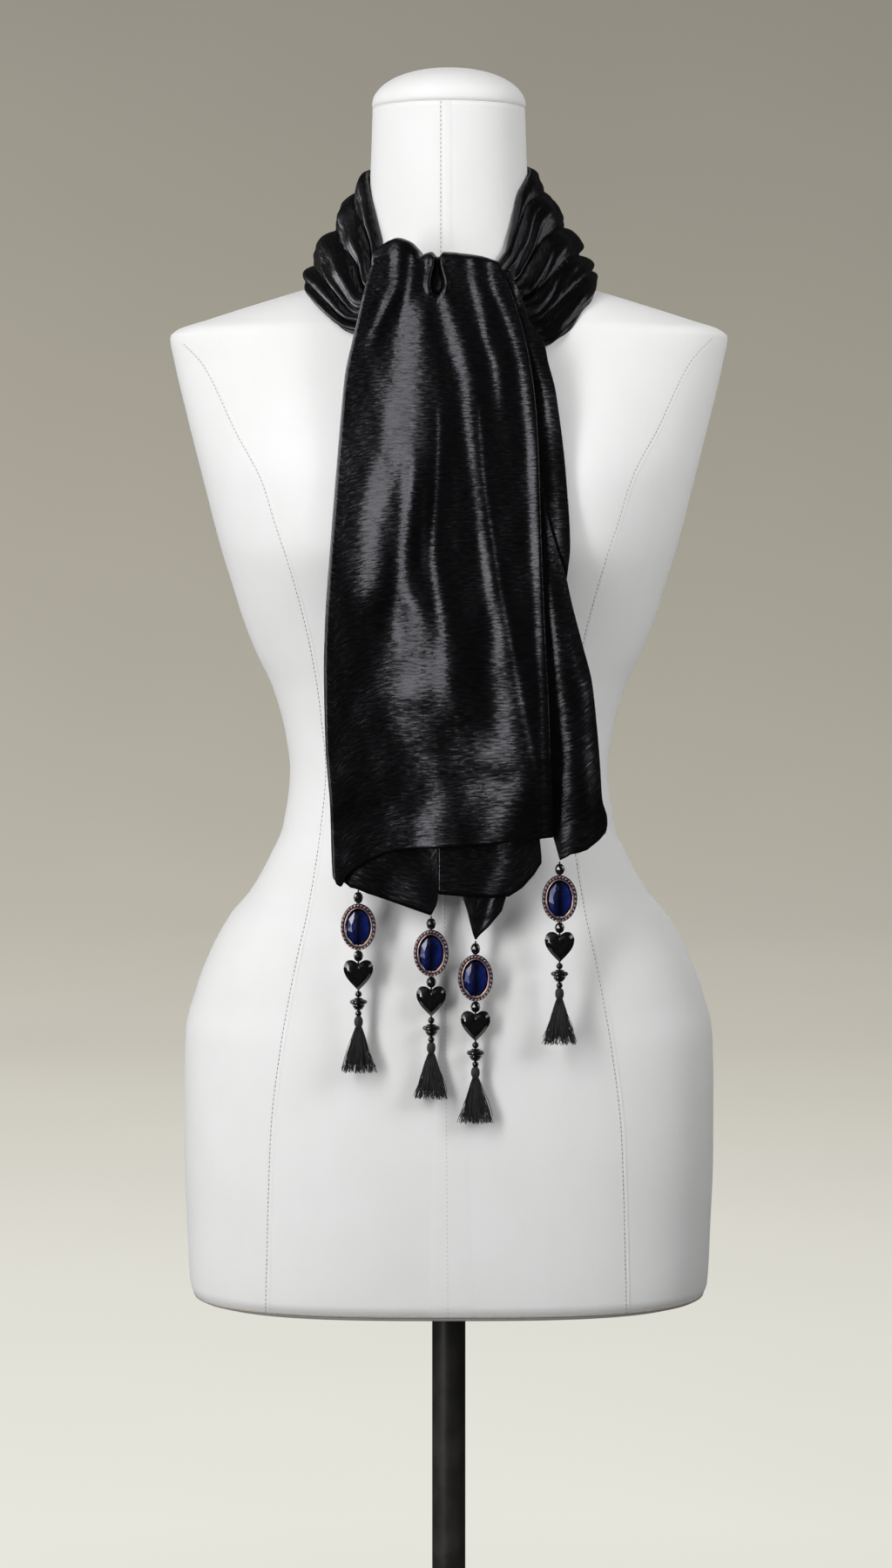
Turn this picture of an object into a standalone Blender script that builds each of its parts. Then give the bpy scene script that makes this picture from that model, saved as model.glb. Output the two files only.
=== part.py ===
"""A pile velvet scarf tied round the neck of a limbless dress form on a round-based stand.

The scarf is one long band.  It passes round the back of the neck and its two ends cross in front.  One end
comes up behind the crossing and falls over it, and the other end hangs straight beneath.  A string of beads
with a tassel is sewn to each of its four corners.  Every stretch of the scarf is a thin wall: a sheet worked
out from the tables below and given its thickness by a Solidify modifier.

Metres, +Z up.  The front faces -Y and +X is to the viewer's right.  The origin is on the floor under the pole.
Tables are in millimetres, with the meaning of each column above them.
"""

from math import cos, pi, radians, sin

import bmesh
import bpy
import numpy as np

MM = 0.001

# ---------------------------------------------------------------- driving dimensions

CLOTH = 2.4 * MM  # a doubled velvet wall, pile to pile
SEAM_GAP = 0.3 * MM  # between neighbouring stretches and between the beads

BASE_RADIUS = 205 * MM
BASE_THICKNESS = 10 * MM
BASE_EDGE = 2.5 * MM
BASE_SEGMENTS = 48
POLE_DIAMETER = 24 * MM
POLE_SEGMENTS = 24
COLLAR_DIAMETER = 46 * MM
COLLAR_HEIGHT = 22 * MM
COLLAR_TAPER = 4 * MM
FORM_BOTTOM = 710 * MM
NECK_TOP = 1552 * MM
CAP_TOP = 1580 * MM
CAP_RADIUS = 53.7 * MM
CAP_EDGE = 1.2 * MM
CAP_RINGS = 6
CAP_LAST_RING = 83  # degrees; the dome is flat inside it

BUST_HEIGHT = 1252 * MM
BUST_APART = 86 * MM  # from the middle to each side
BUST_RISE = 19 * MM
BUST_SPREAD = (42 * MM, 58 * MM, 36 * MM)  # sideways, upwards, downwards

FORM_SEGMENTS = 40
BEAD_SEGMENTS = 8

# Level sections of the form, bottom to top.
# height, half width, front depth, back depth, squareness of the oval
FORM_SECTIONS = (
    (710, 172, 104, 101, 2.9),
    (713, 181, 111, 108, 2.9),
    (722, 185, 115, 112, 2.9),
    (760, 187, 116, 117, 2.8),
    (815, 189, 116, 123, 2.7),
    (862, 189, 115, 127, 2.6),
    (900, 188, 114, 127, 2.5),
    (928, 181, 113, 124, 2.4),
    (950, 173, 111, 119, 2.4),
    (982, 156, 106, 109, 2.3),
    (1000, 141, 102, 102, 2.2),
    (1025, 127, 96, 92, 2.2),
    (1046, 118, 91, 85, 2.2),
    (1085, 113, 86, 79, 2.2),
    (1111, 116, 86, 79, 2.2),
    (1144, 125, 89, 82, 2.2),
    (1170, 137, 93, 86, 2.2),
    (1193, 146, 97, 90, 2.2),
    (1219, 154, 101, 93, 2.2),
    (1245, 162, 104, 96, 2.2),
    (1288, 173, 104, 100, 2.2),
    (1336, 185, 95, 102, 2.1),
    (1375, 194, 84, 98, 2.0),
    (1392, 197, 78, 93, 2.0),
    (1397, 192, 76, 91, 2.0),
    (1404, 171, 72, 87, 2.0),
    (1412, 146, 67, 82, 2.0),
    (1420, 120, 62.5, 77, 2.0),
    (1427, 97, 59.5, 73, 2.0),
    (1434, 78, 58, 70, 2.0),
    (1444, 65, 57, 66, 2.0),
    (1458, 59.5, 56, 62, 2.0),
    (1480, 57, 55.5, 58.5, 2.0),
    (1514, 55, 54.5, 55.5, 2.0),
    (1552, 53.7, 53.7, 53.7, 2.0),
)

# The band round the neck, by the angle from the front, to the viewer's left below zero.
# angle, top edge height, its stand-off from the neck, bottom edge height, bottom edge radius
WRAP_SECTIONS = (
    (-180, 1520, 3, 1441, 91),
    (-135, 1511, 3, 1438, 96),
    (-90, 1492, 3, 1432, 101),
    (-66, 1471, 3, 1419, 106),
    (-54, 1452, 3.5, 1408, 109),
    (-41, 1432, 7, 1393, 104),
    (-20, 1429, 8, 1387, 93),
    (0, 1430, 8, 1386, 90),
    (20, 1431, 8, 1382, 94),
    (38, 1448, 6, 1383, 106),
    (46, 1464, 4, 1391, 110),
    (60, 1493, 3, 1411, 111),
    (90, 1509, 3, 1433, 101),
    (135, 1517, 3, 1438, 96),
    (180, 1520, 3, 1441, 91),
)
CLOTH_REST = 3.0 * MM  # from the form to the middle of the cloth that lies on it
WRAP_BULGE = 1.8  # how early the band swells out below its top edge
WRAP_ROLLS = 4
WRAP_ROLL_DEPTH = 3.0 * MM
# name, first angle, last angle, columns
WRAP_STRETCHES = (
    ("wrap_left", -128, -36, 13),
    ("wrap_right", 36, 128, 13),
    ("wrap_back", 128, 232, 11),
    ("crossing", -36, 36, 9),
)
WRAP_ROWS = 15
WRAP_END_GAP = 0.2  # degrees at each end of a stretch

# The falling end: its edges and how far forward it stands, at each height.
# height, left edge, right edge of the main panel, right edge of the flap, depth
FALL_SECTIONS = (
    (1005, -74, 69, 108, 129.5),
    (1023, -77, 69, 108, 129.5),
    (1049, -79, 69, 107, 129.5),
    (1085, -80, 67, 103, 129.5),
    (1123, -83, 66, 100, 129.5),
    (1172, -84, 61, 92, 129.5),
    (1205, -83, 60, 83, 129.5),
    (1246, -80, 58, 82, 129.5),
    (1284, -77, 57, 79, 126),
    (1332, -73, 55, 75, 117),
    (1363, -70, 49, 69, 112),
    (1390, -64, 42, 61, 107),
    (1419, -57, 34, 49, 101),
    (1436, -52, 30, 39, 96),
)
FALL_TOP = 1436 * MM
FALL_EDGE_ROLL = (15 * MM, 11 * MM)  # width and depth of the edge that curls back
FALL_HEM = (
    (-77, 1019),
    (-73, 1014),
    (-69, 1021),
    (-50, 1033),
    (-31, 1039),
    (-4, 1040.5),
    (42, 1044.5),
    (69, 1048),
)
FLAP_HEM = ((64, 1049), (70.5, 1049), (75.3, 1031.5), (83, 1036), (94, 1039), (108, 1051))
FLAP_TOP = 1414 * MM
FLAP_UNDERLAP = 5 * MM  # of the flap behind the main panel
FLAP_BEHIND = 2.9 * MM

# The over-fold, where the falling end comes up from behind the crossing.
TUCK_STAND_OFF = 3 * MM  # from the neck
TUCK_ANGLES = (-30, 22)  # of its two sides, from the front
TUCK_DEPTH = 8 * MM  # how far it reaches down behind the crossing
OVERFOLD_CREST = ((-52, 1450), (-40, 1453), (-18, 1444), (0, 1444), (30, 1442))
OVERFOLD_STEPS = 7

# Folds of the falling end: where each one's lit slope runs, at five heights.
FOLD_LEVELS = (1030, 1110, 1220, 1330, 1440)
# name, x at each of the five heights, half width, slope
FALL_FOLDS = (
    ("broad_left", (-58, -56, -53, -38, -30), 11, 0.42),
    ("left_pleat", (-30, -22, -33, -27, -20), 6, 0.34),
    ("middle_pleat", (26, 17, -9, -6, -4), 5, 0.36),
    ("right_pleat", (34, 39, 28, 11, 4), 6, 0.40),
    ("fold_edge", (62, 56, 36, 21, 14), 5, 0.36),
)

# The end beneath: a left part and a right part, side by side, in one layer.
# height, left edge, inner edge, right edge, depth
UNDER_SECTIONS = (
    (975, -58.4, -7, 63, 123.5),
    (1060, -58, -7, 60, 123.5),
    (1246, -44, -4, 42, 123.5),
    (1284, -38, -3, 36, 120),
    (1332, -34, -2, 32, 109),
    (1363, -31, -2, 29, 101),
    (1396, -29, -1, 27, 93.4),
)
UNDER_TOP = 1394 * MM
UNDER_HEM = ((-58.4, 1010), (-12.1, 993.9), (-7, 1008))
FOLD_HEM = ((-6.6, 1007), (9, 1006), (18.1, 976.9), (27, 986), (39, 1009), (63, 1029))

# The turned corner behind the lower left edge.
# height, left edge, right edge, depth
TURN_SECTIONS = (
    (1000, -66, -58.8, 123.9),
    (1070, -66, -59.2, 123.9),
)
TURN_TOP = 1062 * MM
TURN_HEM = ((-66, 1013), (-61.7, 1011.9), (-58.8, 1014))

# Pendants: name, x, y and height of the knot that each one swings from, just under a hem corner.
PENDANTS = (
    ("pendant_1", -61.7, -123.9, 1011.0),
    ("pendant_2", -12.1, -123.5, 993.0),
    ("pendant_3", 18.1, -123.5, 976.0),
    ("pendant_4", 75.3, -126.6, 1030.6),
)
# The knot and the thread below it: radius, height above the lower end.
KNOT_PROFILE = ((0.4, 0.0), (0.4, 0.35), (0.52, 0.55), (0.6, 0.85), (0.52, 1.15), (0.25, 1.4))
KNOT_CENTRE = 0.85 * MM  # above the lower end of its thread
# Lengths along the thread, top to bottom, without the gaps between them.
TOP_BEAD = (6.5 * MM, 7.4 * MM)  # width, length
FRAME = (24.0 * MM, 32.0 * MM, 7.0 * MM)  # width, length, thickness
FRAME_RIM = 3.0 * MM
FRAME_SEGMENTS = 20
# round the rim's section: share of the rim in from its outer edge, how far back in half thicknesses
FRAME_LOOPS = ((1.0, 0.7), (1.0, -0.7), (0.4, -1.0), (0.0, -0.4), (0.0, 0.4), (0.4, 1.0))
STONE_SEGMENTS = 12
# share of the outline, how far forward; the rear layer first
STONE_CUT = (
    (0.45, -3.4 * MM),
    (0.8, -2.6 * MM),
    (1.0, -0.6 * MM),
    (1.0, 0.6 * MM),
    (0.8, 2.6 * MM),
    (0.45, 3.4 * MM),
)
MID_BEAD = (6.6 * MM, 7.1 * MM)
HEART = (20.2 * MM, 21.0 * MM, 8.0 * MM)
HEART_SEGMENTS = 20
HEART_SEAT = 1.0 * MM  # how far the bead above sinks into the heart's dip
HEART_CUT = ((0.55, -4.0 * MM), (1.0, -1.4 * MM), (1.0, 1.4 * MM), (0.55, 4.0 * MM))
SMALL_BEAD = (4.6 * MM, 4.3 * MM)
SAUCER = (11.4 * MM, 8.4 * MM)
SAUCER_SEGMENTS = 12
SAUCER_PROFILE = (
    (0.42, 0.0),
    (0.66, 3.2),
    (0.7, 4.0),
    (1.0, 5.4),
    (1.0, 6.6),
    (0.6, 7.9),
    (0.4, 8.4),
)
LOWER_BEAD = (4.4 * MM, 4.2 * MM)
TASSEL_HEAD = (6.2 * MM, 6.6 * MM)
TASSEL_SKIRT = (23.0 * MM, 31.6 * MM, 12.0 * MM)  # width at the foot, length, depth at the foot
TASSEL_NECK = 4.3 * MM
SKIRT_SHARES = (0.0, 0.3, 0.65, 1.0)  # of the skirt's length, from its foot
SKIRT_FLARE = 0.8
BEAD_RINGS = (-70, -38, 0, 38, 70)  # degrees of latitude

# ---------------------------------------------------------------- curves and tables


def curve_through(xs, ys, at):
    """Monotone cubic through points: each slope is the harmonic mean of the chords on either side."""
    xs = np.asarray(xs, float)
    ys = np.asarray(ys, float)
    step = np.diff(xs)
    chord = np.diff(ys) / step
    slope = np.zeros_like(ys)
    slope[0] = chord[0]
    slope[-1] = chord[-1]
    before, after = chord[:-1], chord[1:]
    turning = before * after <= 0
    total = np.where(turning, 1.0, before + after)
    slope[1:-1] = np.where(turning, 0.0, 2 * before * after / total)
    cell = np.clip(np.searchsorted(xs, at) - 1, 0, len(step) - 1)
    width = step[cell]
    t = np.clip((at - xs[cell]) / width, 0, 1)
    start = (2 * t**3 - 3 * t**2 + 1) * ys[cell] + (t**3 - 2 * t**2 + t) * width * slope[cell]
    end = (3 * t**2 - 2 * t**3) * ys[cell + 1] + (t**3 - t**2) * width * slope[cell + 1]
    return start + end


def column(table, index, at):
    """One column of a table in millimetres, read at values of its first column in metres."""
    rows = np.asarray(table, float)
    return curve_through(rows[:, 0], rows[:, index], np.asarray(at, float) / MM) * MM


def outline(points, at):
    """Straight-sided outline: height against x, both tabled in millimetres."""
    xs, heights = np.asarray(points, float).T
    return np.interp(np.asarray(at) / MM, xs, heights) * MM


# ---------------------------------------------------------------- objects and materials


def material(name, colour, roughness, metallic=0.0):
    """A Principled material of one colour."""
    made = bpy.data.materials.new(name)
    made.use_nodes = True
    shader = made.node_tree.nodes["Principled BSDF"]
    shader.inputs["Base Color"].default_value = (*colour, 1.0)
    shader.inputs["Roughness"].default_value = roughness
    shader.inputs["Metallic"].default_value = metallic
    return made


def add_object(name, mesh, finish, parent=None, location=(0, 0, 0)):
    """Link a mesh to the scene as a named object with one material."""
    mesh.materials.append(finish)
    made = bpy.data.objects.new(name, mesh)
    made.location = location
    made.parent = parent
    bpy.context.scene.collection.objects.link(made)
    return made


def grid_faces(rows, columns, closed):
    """Quads between neighbouring rows of a grid of points, joined round where it is closed."""
    faces = []
    for row in range(rows - 1):
        for here in range(columns if closed else columns - 1):
            beside = (here + 1) % columns
            below = row * columns
            above = below + columns
            faces.append((below + here, below + beside, above + beside, above + here))
    return faces


def loft(name, rings, smooth=True):
    """A closed body through level rings, each anticlockwise from above, from the lowest up."""
    rings = np.asarray(rings, float)
    count, segments = rings.shape[:2]
    faces = grid_faces(count, segments, closed=True)
    faces.append(tuple(reversed(range(segments))))
    faces.append(tuple(range((count - 1) * segments, count * segments)))
    mesh = bpy.data.meshes.new(name)
    mesh.from_pydata(rings.reshape(-1, 3).tolist(), [], faces)
    if smooth:
        mesh.shade_smooth()
    mesh.set_sharp_from_angle(angle=radians(40))
    return mesh


def turned(name, profile, segments, flatten=1.0, smooth=True):
    """A body turned about Z from (radius, height) pairs, lowest first, with its depth flattened."""
    angles = 2 * pi * np.arange(segments) / segments
    rings = []
    for radius, height in profile:
        ring = [(radius * cos(a), radius * flatten * sin(a), height) for a in angles]
        rings.append(ring)
    return loft(name, rings, smooth)


def add_sheet(name, points, finish):
    """Cloth wall: a sheet through a grid of points, rows first, thickened to both sides."""
    rows, columns = points.shape[:2]
    mesh = bpy.data.meshes.new(name)
    mesh.from_pydata(points.reshape(-1, 3).tolist(), [], grid_faces(rows, columns, closed=False))
    mesh.shade_smooth()
    sheet = add_object(name, mesh, finish)
    wall = sheet.modifiers.new("Wall", "SOLIDIFY")
    wall.thickness = CLOTH
    wall.offset = 0.0
    return sheet


# ---------------------------------------------------------------- the dress form


def form_ring(height):
    """Level section of the form: a squared oval with the bust added to its front half."""
    angles = 2 * pi * np.arange(FORM_SEGMENTS) / FORM_SEGMENTS
    side = np.cos(angles)
    depth = np.sin(angles)
    half_width, front, back = (column(FORM_SECTIONS, index, height) for index in (1, 2, 3))
    power = 2 / (column(FORM_SECTIONS, 4, height) / MM)
    x = half_width * np.sign(side) * np.abs(side) ** power
    y = np.where(depth < 0, front, back) * np.sign(depth) * np.abs(depth) ** power
    across, up, down = BUST_SPREAD
    spread = np.where(height > BUST_HEIGHT, up, down)
    bust = np.exp(-0.5 * ((np.abs(x) - BUST_APART) / across) ** 2)
    bust *= np.exp(-0.5 * ((height - BUST_HEIGHT) / spread) ** 2)
    y -= BUST_RISE * bust * np.clip(-2 * depth, 0, 1)
    return np.column_stack([x, y, np.full_like(x, height)])


def build_form(finishes):
    """The padded form with its neck, the domed cap, and the stand that carries them."""
    heights = [row[0] * MM for row in FORM_SECTIONS]
    torso = loft("torso", [form_ring(height) for height in heights])
    add_object("torso", torso, finishes["jersey"])

    rise = CAP_TOP - NECK_TOP - SEAM_GAP - CAP_EDGE
    dome = [(CAP_RADIUS - CAP_EDGE, 0.0), (CAP_RADIUS, CAP_EDGE)]
    for step in range(1, CAP_RINGS + 1):
        angle = radians(CAP_LAST_RING * step / CAP_RINGS)
        dome.append((CAP_RADIUS * cos(angle), CAP_EDGE + rise * sin(angle)))
    cap = turned("neck_cap", dome, FORM_SEGMENTS)
    add_object("neck_cap", cap, finishes["jersey"], location=(0, 0, NECK_TOP + SEAM_GAP))

    plate = [
        (BASE_RADIUS, 0.0),
        (BASE_RADIUS, BASE_THICKNESS - BASE_EDGE),
        (BASE_RADIUS - BASE_EDGE, BASE_THICKNESS),
    ]
    add_object("base_plate", turned("base_plate", plate, BASE_SEGMENTS), finishes["steel"])

    half_pole = POLE_DIAMETER / 2
    collar = bmesh.new()
    low, high = COLLAR_DIAMETER / 2, COLLAR_DIAMETER / 2 - COLLAR_TAPER
    inner = half_pole + SEAM_GAP
    profile = ((inner, 0.0), (low, 0.0), (high, COLLAR_HEIGHT), (inner, COLLAR_HEIGHT))
    corners = [collar.verts.new((radius, 0, height)) for radius, height in profile]
    edges = [collar.edges.new((corners[i], corners[(i + 1) % 4])) for i in range(4)]
    section = corners + edges
    bmesh.ops.spin(
        collar, geom=section, axis=(0, 0, 1), cent=(0, 0, 0), angle=2 * pi, steps=POLE_SEGMENTS
    )
    bmesh.ops.remove_doubles(collar, verts=collar.verts, dist=0.01 * MM)
    bmesh.ops.recalc_face_normals(collar, faces=collar.faces)
    mesh = bpy.data.meshes.new("pole_collar")
    collar.to_mesh(mesh)
    collar.free()
    add_object("pole_collar", mesh, finishes["steel"], location=(0, 0, BASE_THICKNESS + SEAM_GAP))

    foot = BASE_THICKNESS + SEAM_GAP
    pole = [(half_pole, foot), (half_pole, FORM_BOTTOM - SEAM_GAP)]
    add_object("pole", turned("pole", pole, POLE_SEGMENTS), finishes["steel"])


# ---------------------------------------------------------------- the scarf


def form_radius(angle, height):
    """Distance from the neck's axis to the form, for a level section near the shoulders."""
    half_width, front, back = (column(FORM_SECTIONS, index, height) for index in (1, 2, 3))
    across = np.sin(angle) / half_width
    along = np.cos(angle) / np.where(np.cos(angle) > 0, front, back)
    return 1 / np.hypot(across, along)


def wrap_points(first, last, columns):
    """Grid of the band round the neck between two angles, from its bottom edge up to its top edge."""
    degrees = np.linspace(first + WRAP_END_GAP, last - WRAP_END_GAP, columns)
    degrees = (degrees + 180) % 360 - 180
    angle = np.radians(degrees)
    rows = np.asarray(WRAP_SECTIONS, float)
    top, stand_off, bottom, bottom_radius = (
        curve_through(rows[:, 0], rows[:, index], degrees) * MM for index in (1, 2, 3, 4)
    )
    down = np.linspace(1, 0, WRAP_ROWS)[:, None]
    height = top + (bottom - top) * down
    top_radius = form_radius(angle, top) + stand_off
    swell = 1 - (1 - down) ** WRAP_BULGE
    roll = WRAP_ROLL_DEPTH * np.abs(np.sin(pi * WRAP_ROLLS * down)) * np.sin(pi * down) ** 0.5
    radius = top_radius + (bottom_radius - top_radius) * swell + roll
    radius = np.maximum(radius, form_radius(angle, height) + CLOTH_REST)
    return np.stack([radius * np.sin(angle), -radius * np.cos(angle), height], axis=-1)


def fold_relief(x, height, left, right):
    """How far the folds stand forward: a rise at each lit slope, less the straight fall between edges."""

    def rise(at):
        total = np.zeros_like(at)
        for _, places, half_width, slope in FALL_FOLDS:
            centre = curve_through(FOLD_LEVELS, places, height / MM) * MM
            total += slope * half_width * MM * np.tanh((at - centre) / (half_width * MM))
        return total

    start, end = rise(left), rise(right)
    across = np.clip((x - left) / (right - left), 0, 1)
    return rise(x) - start - (end - start) * across


def curl(distance):
    """How far back an edge curls at a distance from it."""
    width, depth = FALL_EDGE_ROLL
    return depth * np.clip(1 - distance / width, 0, 1) ** 2


def fall_edges(height):
    """The main panel's left edge, right edge and depth."""
    return tuple(column(FALL_SECTIONS, index, height) for index in (1, 2, 4))


def fall_points(columns, rows):
    """Grid of the falling end's main panel: tuck, over-fold and front, top row first."""
    front = panel_points(fall_edges, FALL_HEM, FALL_TOP, columns, rows)
    x, height = front[:, :, 0], front[:, :, 2]
    left, right, _ = fall_edges(height)
    front[:, :, 1] += curl(x - left) - fold_relief(x, height, left, right)

    start, end = (radians(angle) for angle in TUCK_ANGLES)
    angle = start + (end - start) * hem_columns(FALL_HEM, columns)
    tuck_radius = form_radius(angle, FALL_TOP - TUCK_DEPTH) + TUCK_STAND_OFF
    tuck_x = tuck_radius * np.sin(angle)
    tuck_y = -tuck_radius * np.cos(angle)
    crest = outline(OVERFOLD_CREST, front[0, :, 0])
    over = []
    for step in range(OVERFOLD_STEPS):
        turn = step / OVERFOLD_STEPS
        share = (1 - cos(pi * turn)) / 2
        over_x = tuck_x + (front[0, :, 0] - tuck_x) * share
        over_y = tuck_y + (front[0, :, 1] - tuck_y) * share
        over_z = FALL_TOP + (crest - FALL_TOP) * sin(pi * turn)
        over.append(np.column_stack([over_x, over_y, over_z]))
    tail = np.column_stack([tuck_x, tuck_y, np.full_like(tuck_x, FALL_TOP - TUCK_DEPTH)])
    return np.concatenate([tail[None], np.stack(over), front])


def hem_columns(hem_table, columns):
    """Shares across a panel: evenly spread, with one on each corner of its hem."""
    xs = np.asarray(hem_table, float)[:, 0]
    corners = (xs - xs[0]) / (xs[-1] - xs[0])
    even = np.linspace(0, 1, columns)
    clear = np.abs(even[:, None] - corners).min(axis=1) > 0.4 / columns
    return np.sort(np.concatenate([corners, even[clear]]))


def panel_points(edges, hem_table, top, columns, rows):
    """Grid of a plain hanging panel down to its own hem.

    edges gives the left edge, the right edge and the depth at an array of heights.
    """
    across = hem_columns(hem_table, columns)[None, :]
    first, last = hem_table[0][0], hem_table[-1][0]
    hem = outline(hem_table, (first + across * (last - first)) * MM)
    down = np.linspace(0, 1, rows)[:, None]
    height = top + (hem - top) * down
    left, right, depth = edges(height)
    return np.stack([left + (right - left) * across, -depth, height], axis=-1)


def flap_edges(height):
    """The flap starts behind the main panel's right edge and ends at its own."""
    left = column(FALL_SECTIONS, 2, height) - FLAP_UNDERLAP
    right = column(FALL_SECTIONS, 3, height)
    return left, right, column(FALL_SECTIONS, 4, height) - FLAP_BEHIND


def turn_edges(height):
    """The turned corner, behind the left edge of the falling end."""
    return tuple(column(TURN_SECTIONS, index, height) for index in (1, 2, 3))


def under_edges(height):
    """Left part of the end beneath."""
    left, inner, depth = (column(UNDER_SECTIONS, index, height) for index in (1, 2, 4))
    return left, inner, depth


def fold_edges(height):
    """Right part of the end beneath, a seam gap beyond the left part."""
    inner, right, depth = (column(UNDER_SECTIONS, index, height) for index in (2, 3, 4))
    return inner + SEAM_GAP, right, depth


def build_scarf(velvet):
    """Every stretch of the scarf that shows, and the crossing that holds them."""
    for name, first, last, columns in WRAP_STRETCHES:
        add_sheet(name, wrap_points(first, last, columns), velvet)
    add_sheet("front_fall", fall_points(columns=24, rows=18), velvet)
    panels = (
        ("side_flap", flap_edges, FLAP_HEM, FLAP_TOP, 6, 14),
        ("corner_turn", turn_edges, TURN_HEM, TURN_TOP, 3, 4),
        ("under_fall", under_edges, UNDER_HEM, UNDER_TOP, 6, 12),
        ("under_fold", fold_edges, FOLD_HEM, UNDER_TOP, 8, 12),
    )
    for name, edges, hem_table, top, columns, rows in panels:
        add_sheet(name, panel_points(edges, hem_table, top, columns, rows), velvet)


# ---------------------------------------------------------------- the pendants


def oval(width, length, segments):
    """Points of an upright oval in the XZ plane, anticlockwise seen from the front."""
    angles = 2 * pi * np.arange(segments) / segments
    return np.column_stack([width / 2 * np.cos(angles), np.zeros(segments), length / 2 * np.sin(angles)])


def stack_forward(name, shape, layers, smooth=False):
    """A body through copies of one upright outline, each scaled and set forward, the rear one first."""
    rings = [shape * scale - np.array([0, forward, 0]) for scale, forward in layers]
    return loft(name, rings, smooth)


def round_bead(name, width, length, smooth):
    """A bead through its rings of latitude: faceted where it is flat shaded."""
    half_height = length / 2 / sin(radians(BEAD_RINGS[-1]))
    profile = []
    for degrees in BEAD_RINGS:
        angle = radians(degrees)
        profile.append((width / 2 * cos(angle), half_height * sin(angle)))
    return turned(name, profile, BEAD_SEGMENTS, smooth=smooth)


def oval_frame(name, width, length, thickness):
    """The stone's setting: an oval ring with a rounded outer edge."""
    rings = []
    for rim, back in FRAME_LOOPS:
        ring = oval(width - 2 * rim * FRAME_RIM, length - 2 * rim * FRAME_RIM, FRAME_SEGMENTS)
        rings.append(ring + np.array([0, back * thickness / 2, 0]))
    rings.append(rings[0])
    points = np.asarray(rings)
    faces = grid_faces(len(rings), FRAME_SEGMENTS, closed=True)
    mesh = bpy.data.meshes.new(name)
    mesh.from_pydata(points.reshape(-1, 3).tolist(), [], faces)
    shape = bmesh.new()
    shape.from_mesh(mesh)
    bmesh.ops.remove_doubles(shape, verts=shape.verts, dist=0.01 * MM)
    bmesh.ops.recalc_face_normals(shape, faces=shape.faces)
    shape.to_mesh(mesh)
    shape.free()
    return mesh


def heart_outline(width, length):
    """An upright heart in the XZ plane about its own centre, with a shallow dip in its top."""
    turn = 2 * pi * np.arange(HEART_SEGMENTS) / HEART_SEGMENTS
    x = 16 * np.sin(turn) ** 3
    z = 13 * np.cos(turn) - 4 * np.cos(2 * turn) - 1.5 * np.cos(3 * turn) - 0.5 * np.cos(4 * turn)
    z = (z - (z.max() + z.min()) / 2) * length / (z.max() - z.min())
    x = -x * width / (x.max() - x.min())
    return np.column_stack([x, np.zeros_like(x), z])


def skirt_profile():
    """The spread threads of a tassel, from the foot up to its neck."""
    width, length, _ = TASSEL_SKIRT
    profile = []
    for share in SKIRT_SHARES:
        across = TASSEL_NECK + (width - TASSEL_NECK) * (1 - share) ** SKIRT_FLARE
        profile.append((across / 2, length * (share - 0.5)))
    return profile


def saucer_profile():
    """The cone and the disc above it, from (share of the radius, height above the foot)."""
    radius, length = SAUCER[0] / 2, SAUCER[1]
    return [(radius * share, rise * MM - length / 2) for share, rise in SAUCER_PROFILE]


def pendant_meshes(prefix):
    """Each piece's mesh about its own centre, with its length and finish, in order down the thread.

    The stone has no length of its own, because it sits in the frame before it.  The heart loses the length
    by which the bead above sinks into its dip.
    """
    frame_width, frame_length, _ = FRAME
    heart_width, heart_length, _ = HEART
    skirt_width, skirt_length, skirt_depth = TASSEL_SKIRT
    inset = 2 * FRAME_RIM + 2 * SEAM_GAP
    stone = oval(frame_width - inset, frame_length - inset, STONE_SEGMENTS)
    heart = heart_outline(heart_width, heart_length) + np.array([0, 0, HEART_SEAT / 2])
    skirt_depth_share = skirt_depth / skirt_width
    return (
        (round_bead(prefix + "_top_bead", *TOP_BEAD, smooth=False), TOP_BEAD[1], "jet"),
        (oval_frame(prefix + "_cabochon_frame", *FRAME), frame_length, "gilt"),
        (stack_forward(prefix + "_stone", stone, STONE_CUT), 0.0, "sapphire"),
        (round_bead(prefix + "_mid_bead", *MID_BEAD, smooth=False), MID_BEAD[1], "jet"),
        (stack_forward(prefix + "_heart", heart, HEART_CUT), heart_length - HEART_SEAT, "jet"),
        (round_bead(prefix + "_bead_upper", *SMALL_BEAD, smooth=True), SMALL_BEAD[1], "jet"),
        (turned(prefix + "_saucer", saucer_profile(), SAUCER_SEGMENTS), SAUCER[1], "jet"),
        (round_bead(prefix + "_bead_lower", *LOWER_BEAD, smooth=True), LOWER_BEAD[1], "jet"),
        (round_bead(prefix + "_tassel_head", *TASSEL_HEAD, smooth=True), TASSEL_HEAD[1], "thread"),
        (
            turned(prefix + "_tassel_skirt", skirt_profile(), SAUCER_SEGMENTS, skirt_depth_share),
            skirt_length,
            "thread",
        ),
    )


def build_pendants(finishes):
    """Four strings of beads, each the children of the knot that it swings from."""
    profile = [(radius * MM, height * MM - KNOT_CENTRE) for radius, height in KNOT_PROFILE]
    for name, x, y, height in PENDANTS:
        knot_mesh = turned(name + "_thread_knot", profile, BEAD_SEGMENTS)
        place = (x * MM, y * MM, height * MM)
        knot = add_object(knot_mesh.name, knot_mesh, finishes["thread"], location=place)
        hung = KNOT_CENTRE + SEAM_GAP
        centre = 0.0
        for mesh, length, finish in pendant_meshes(name):
            if length:
                centre = hung + length / 2
                hung += length + SEAM_GAP
            add_object(mesh.name, mesh, finishes[finish], parent=knot, location=(0, 0, -centre))


# ---------------------------------------------------------------- main


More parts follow.
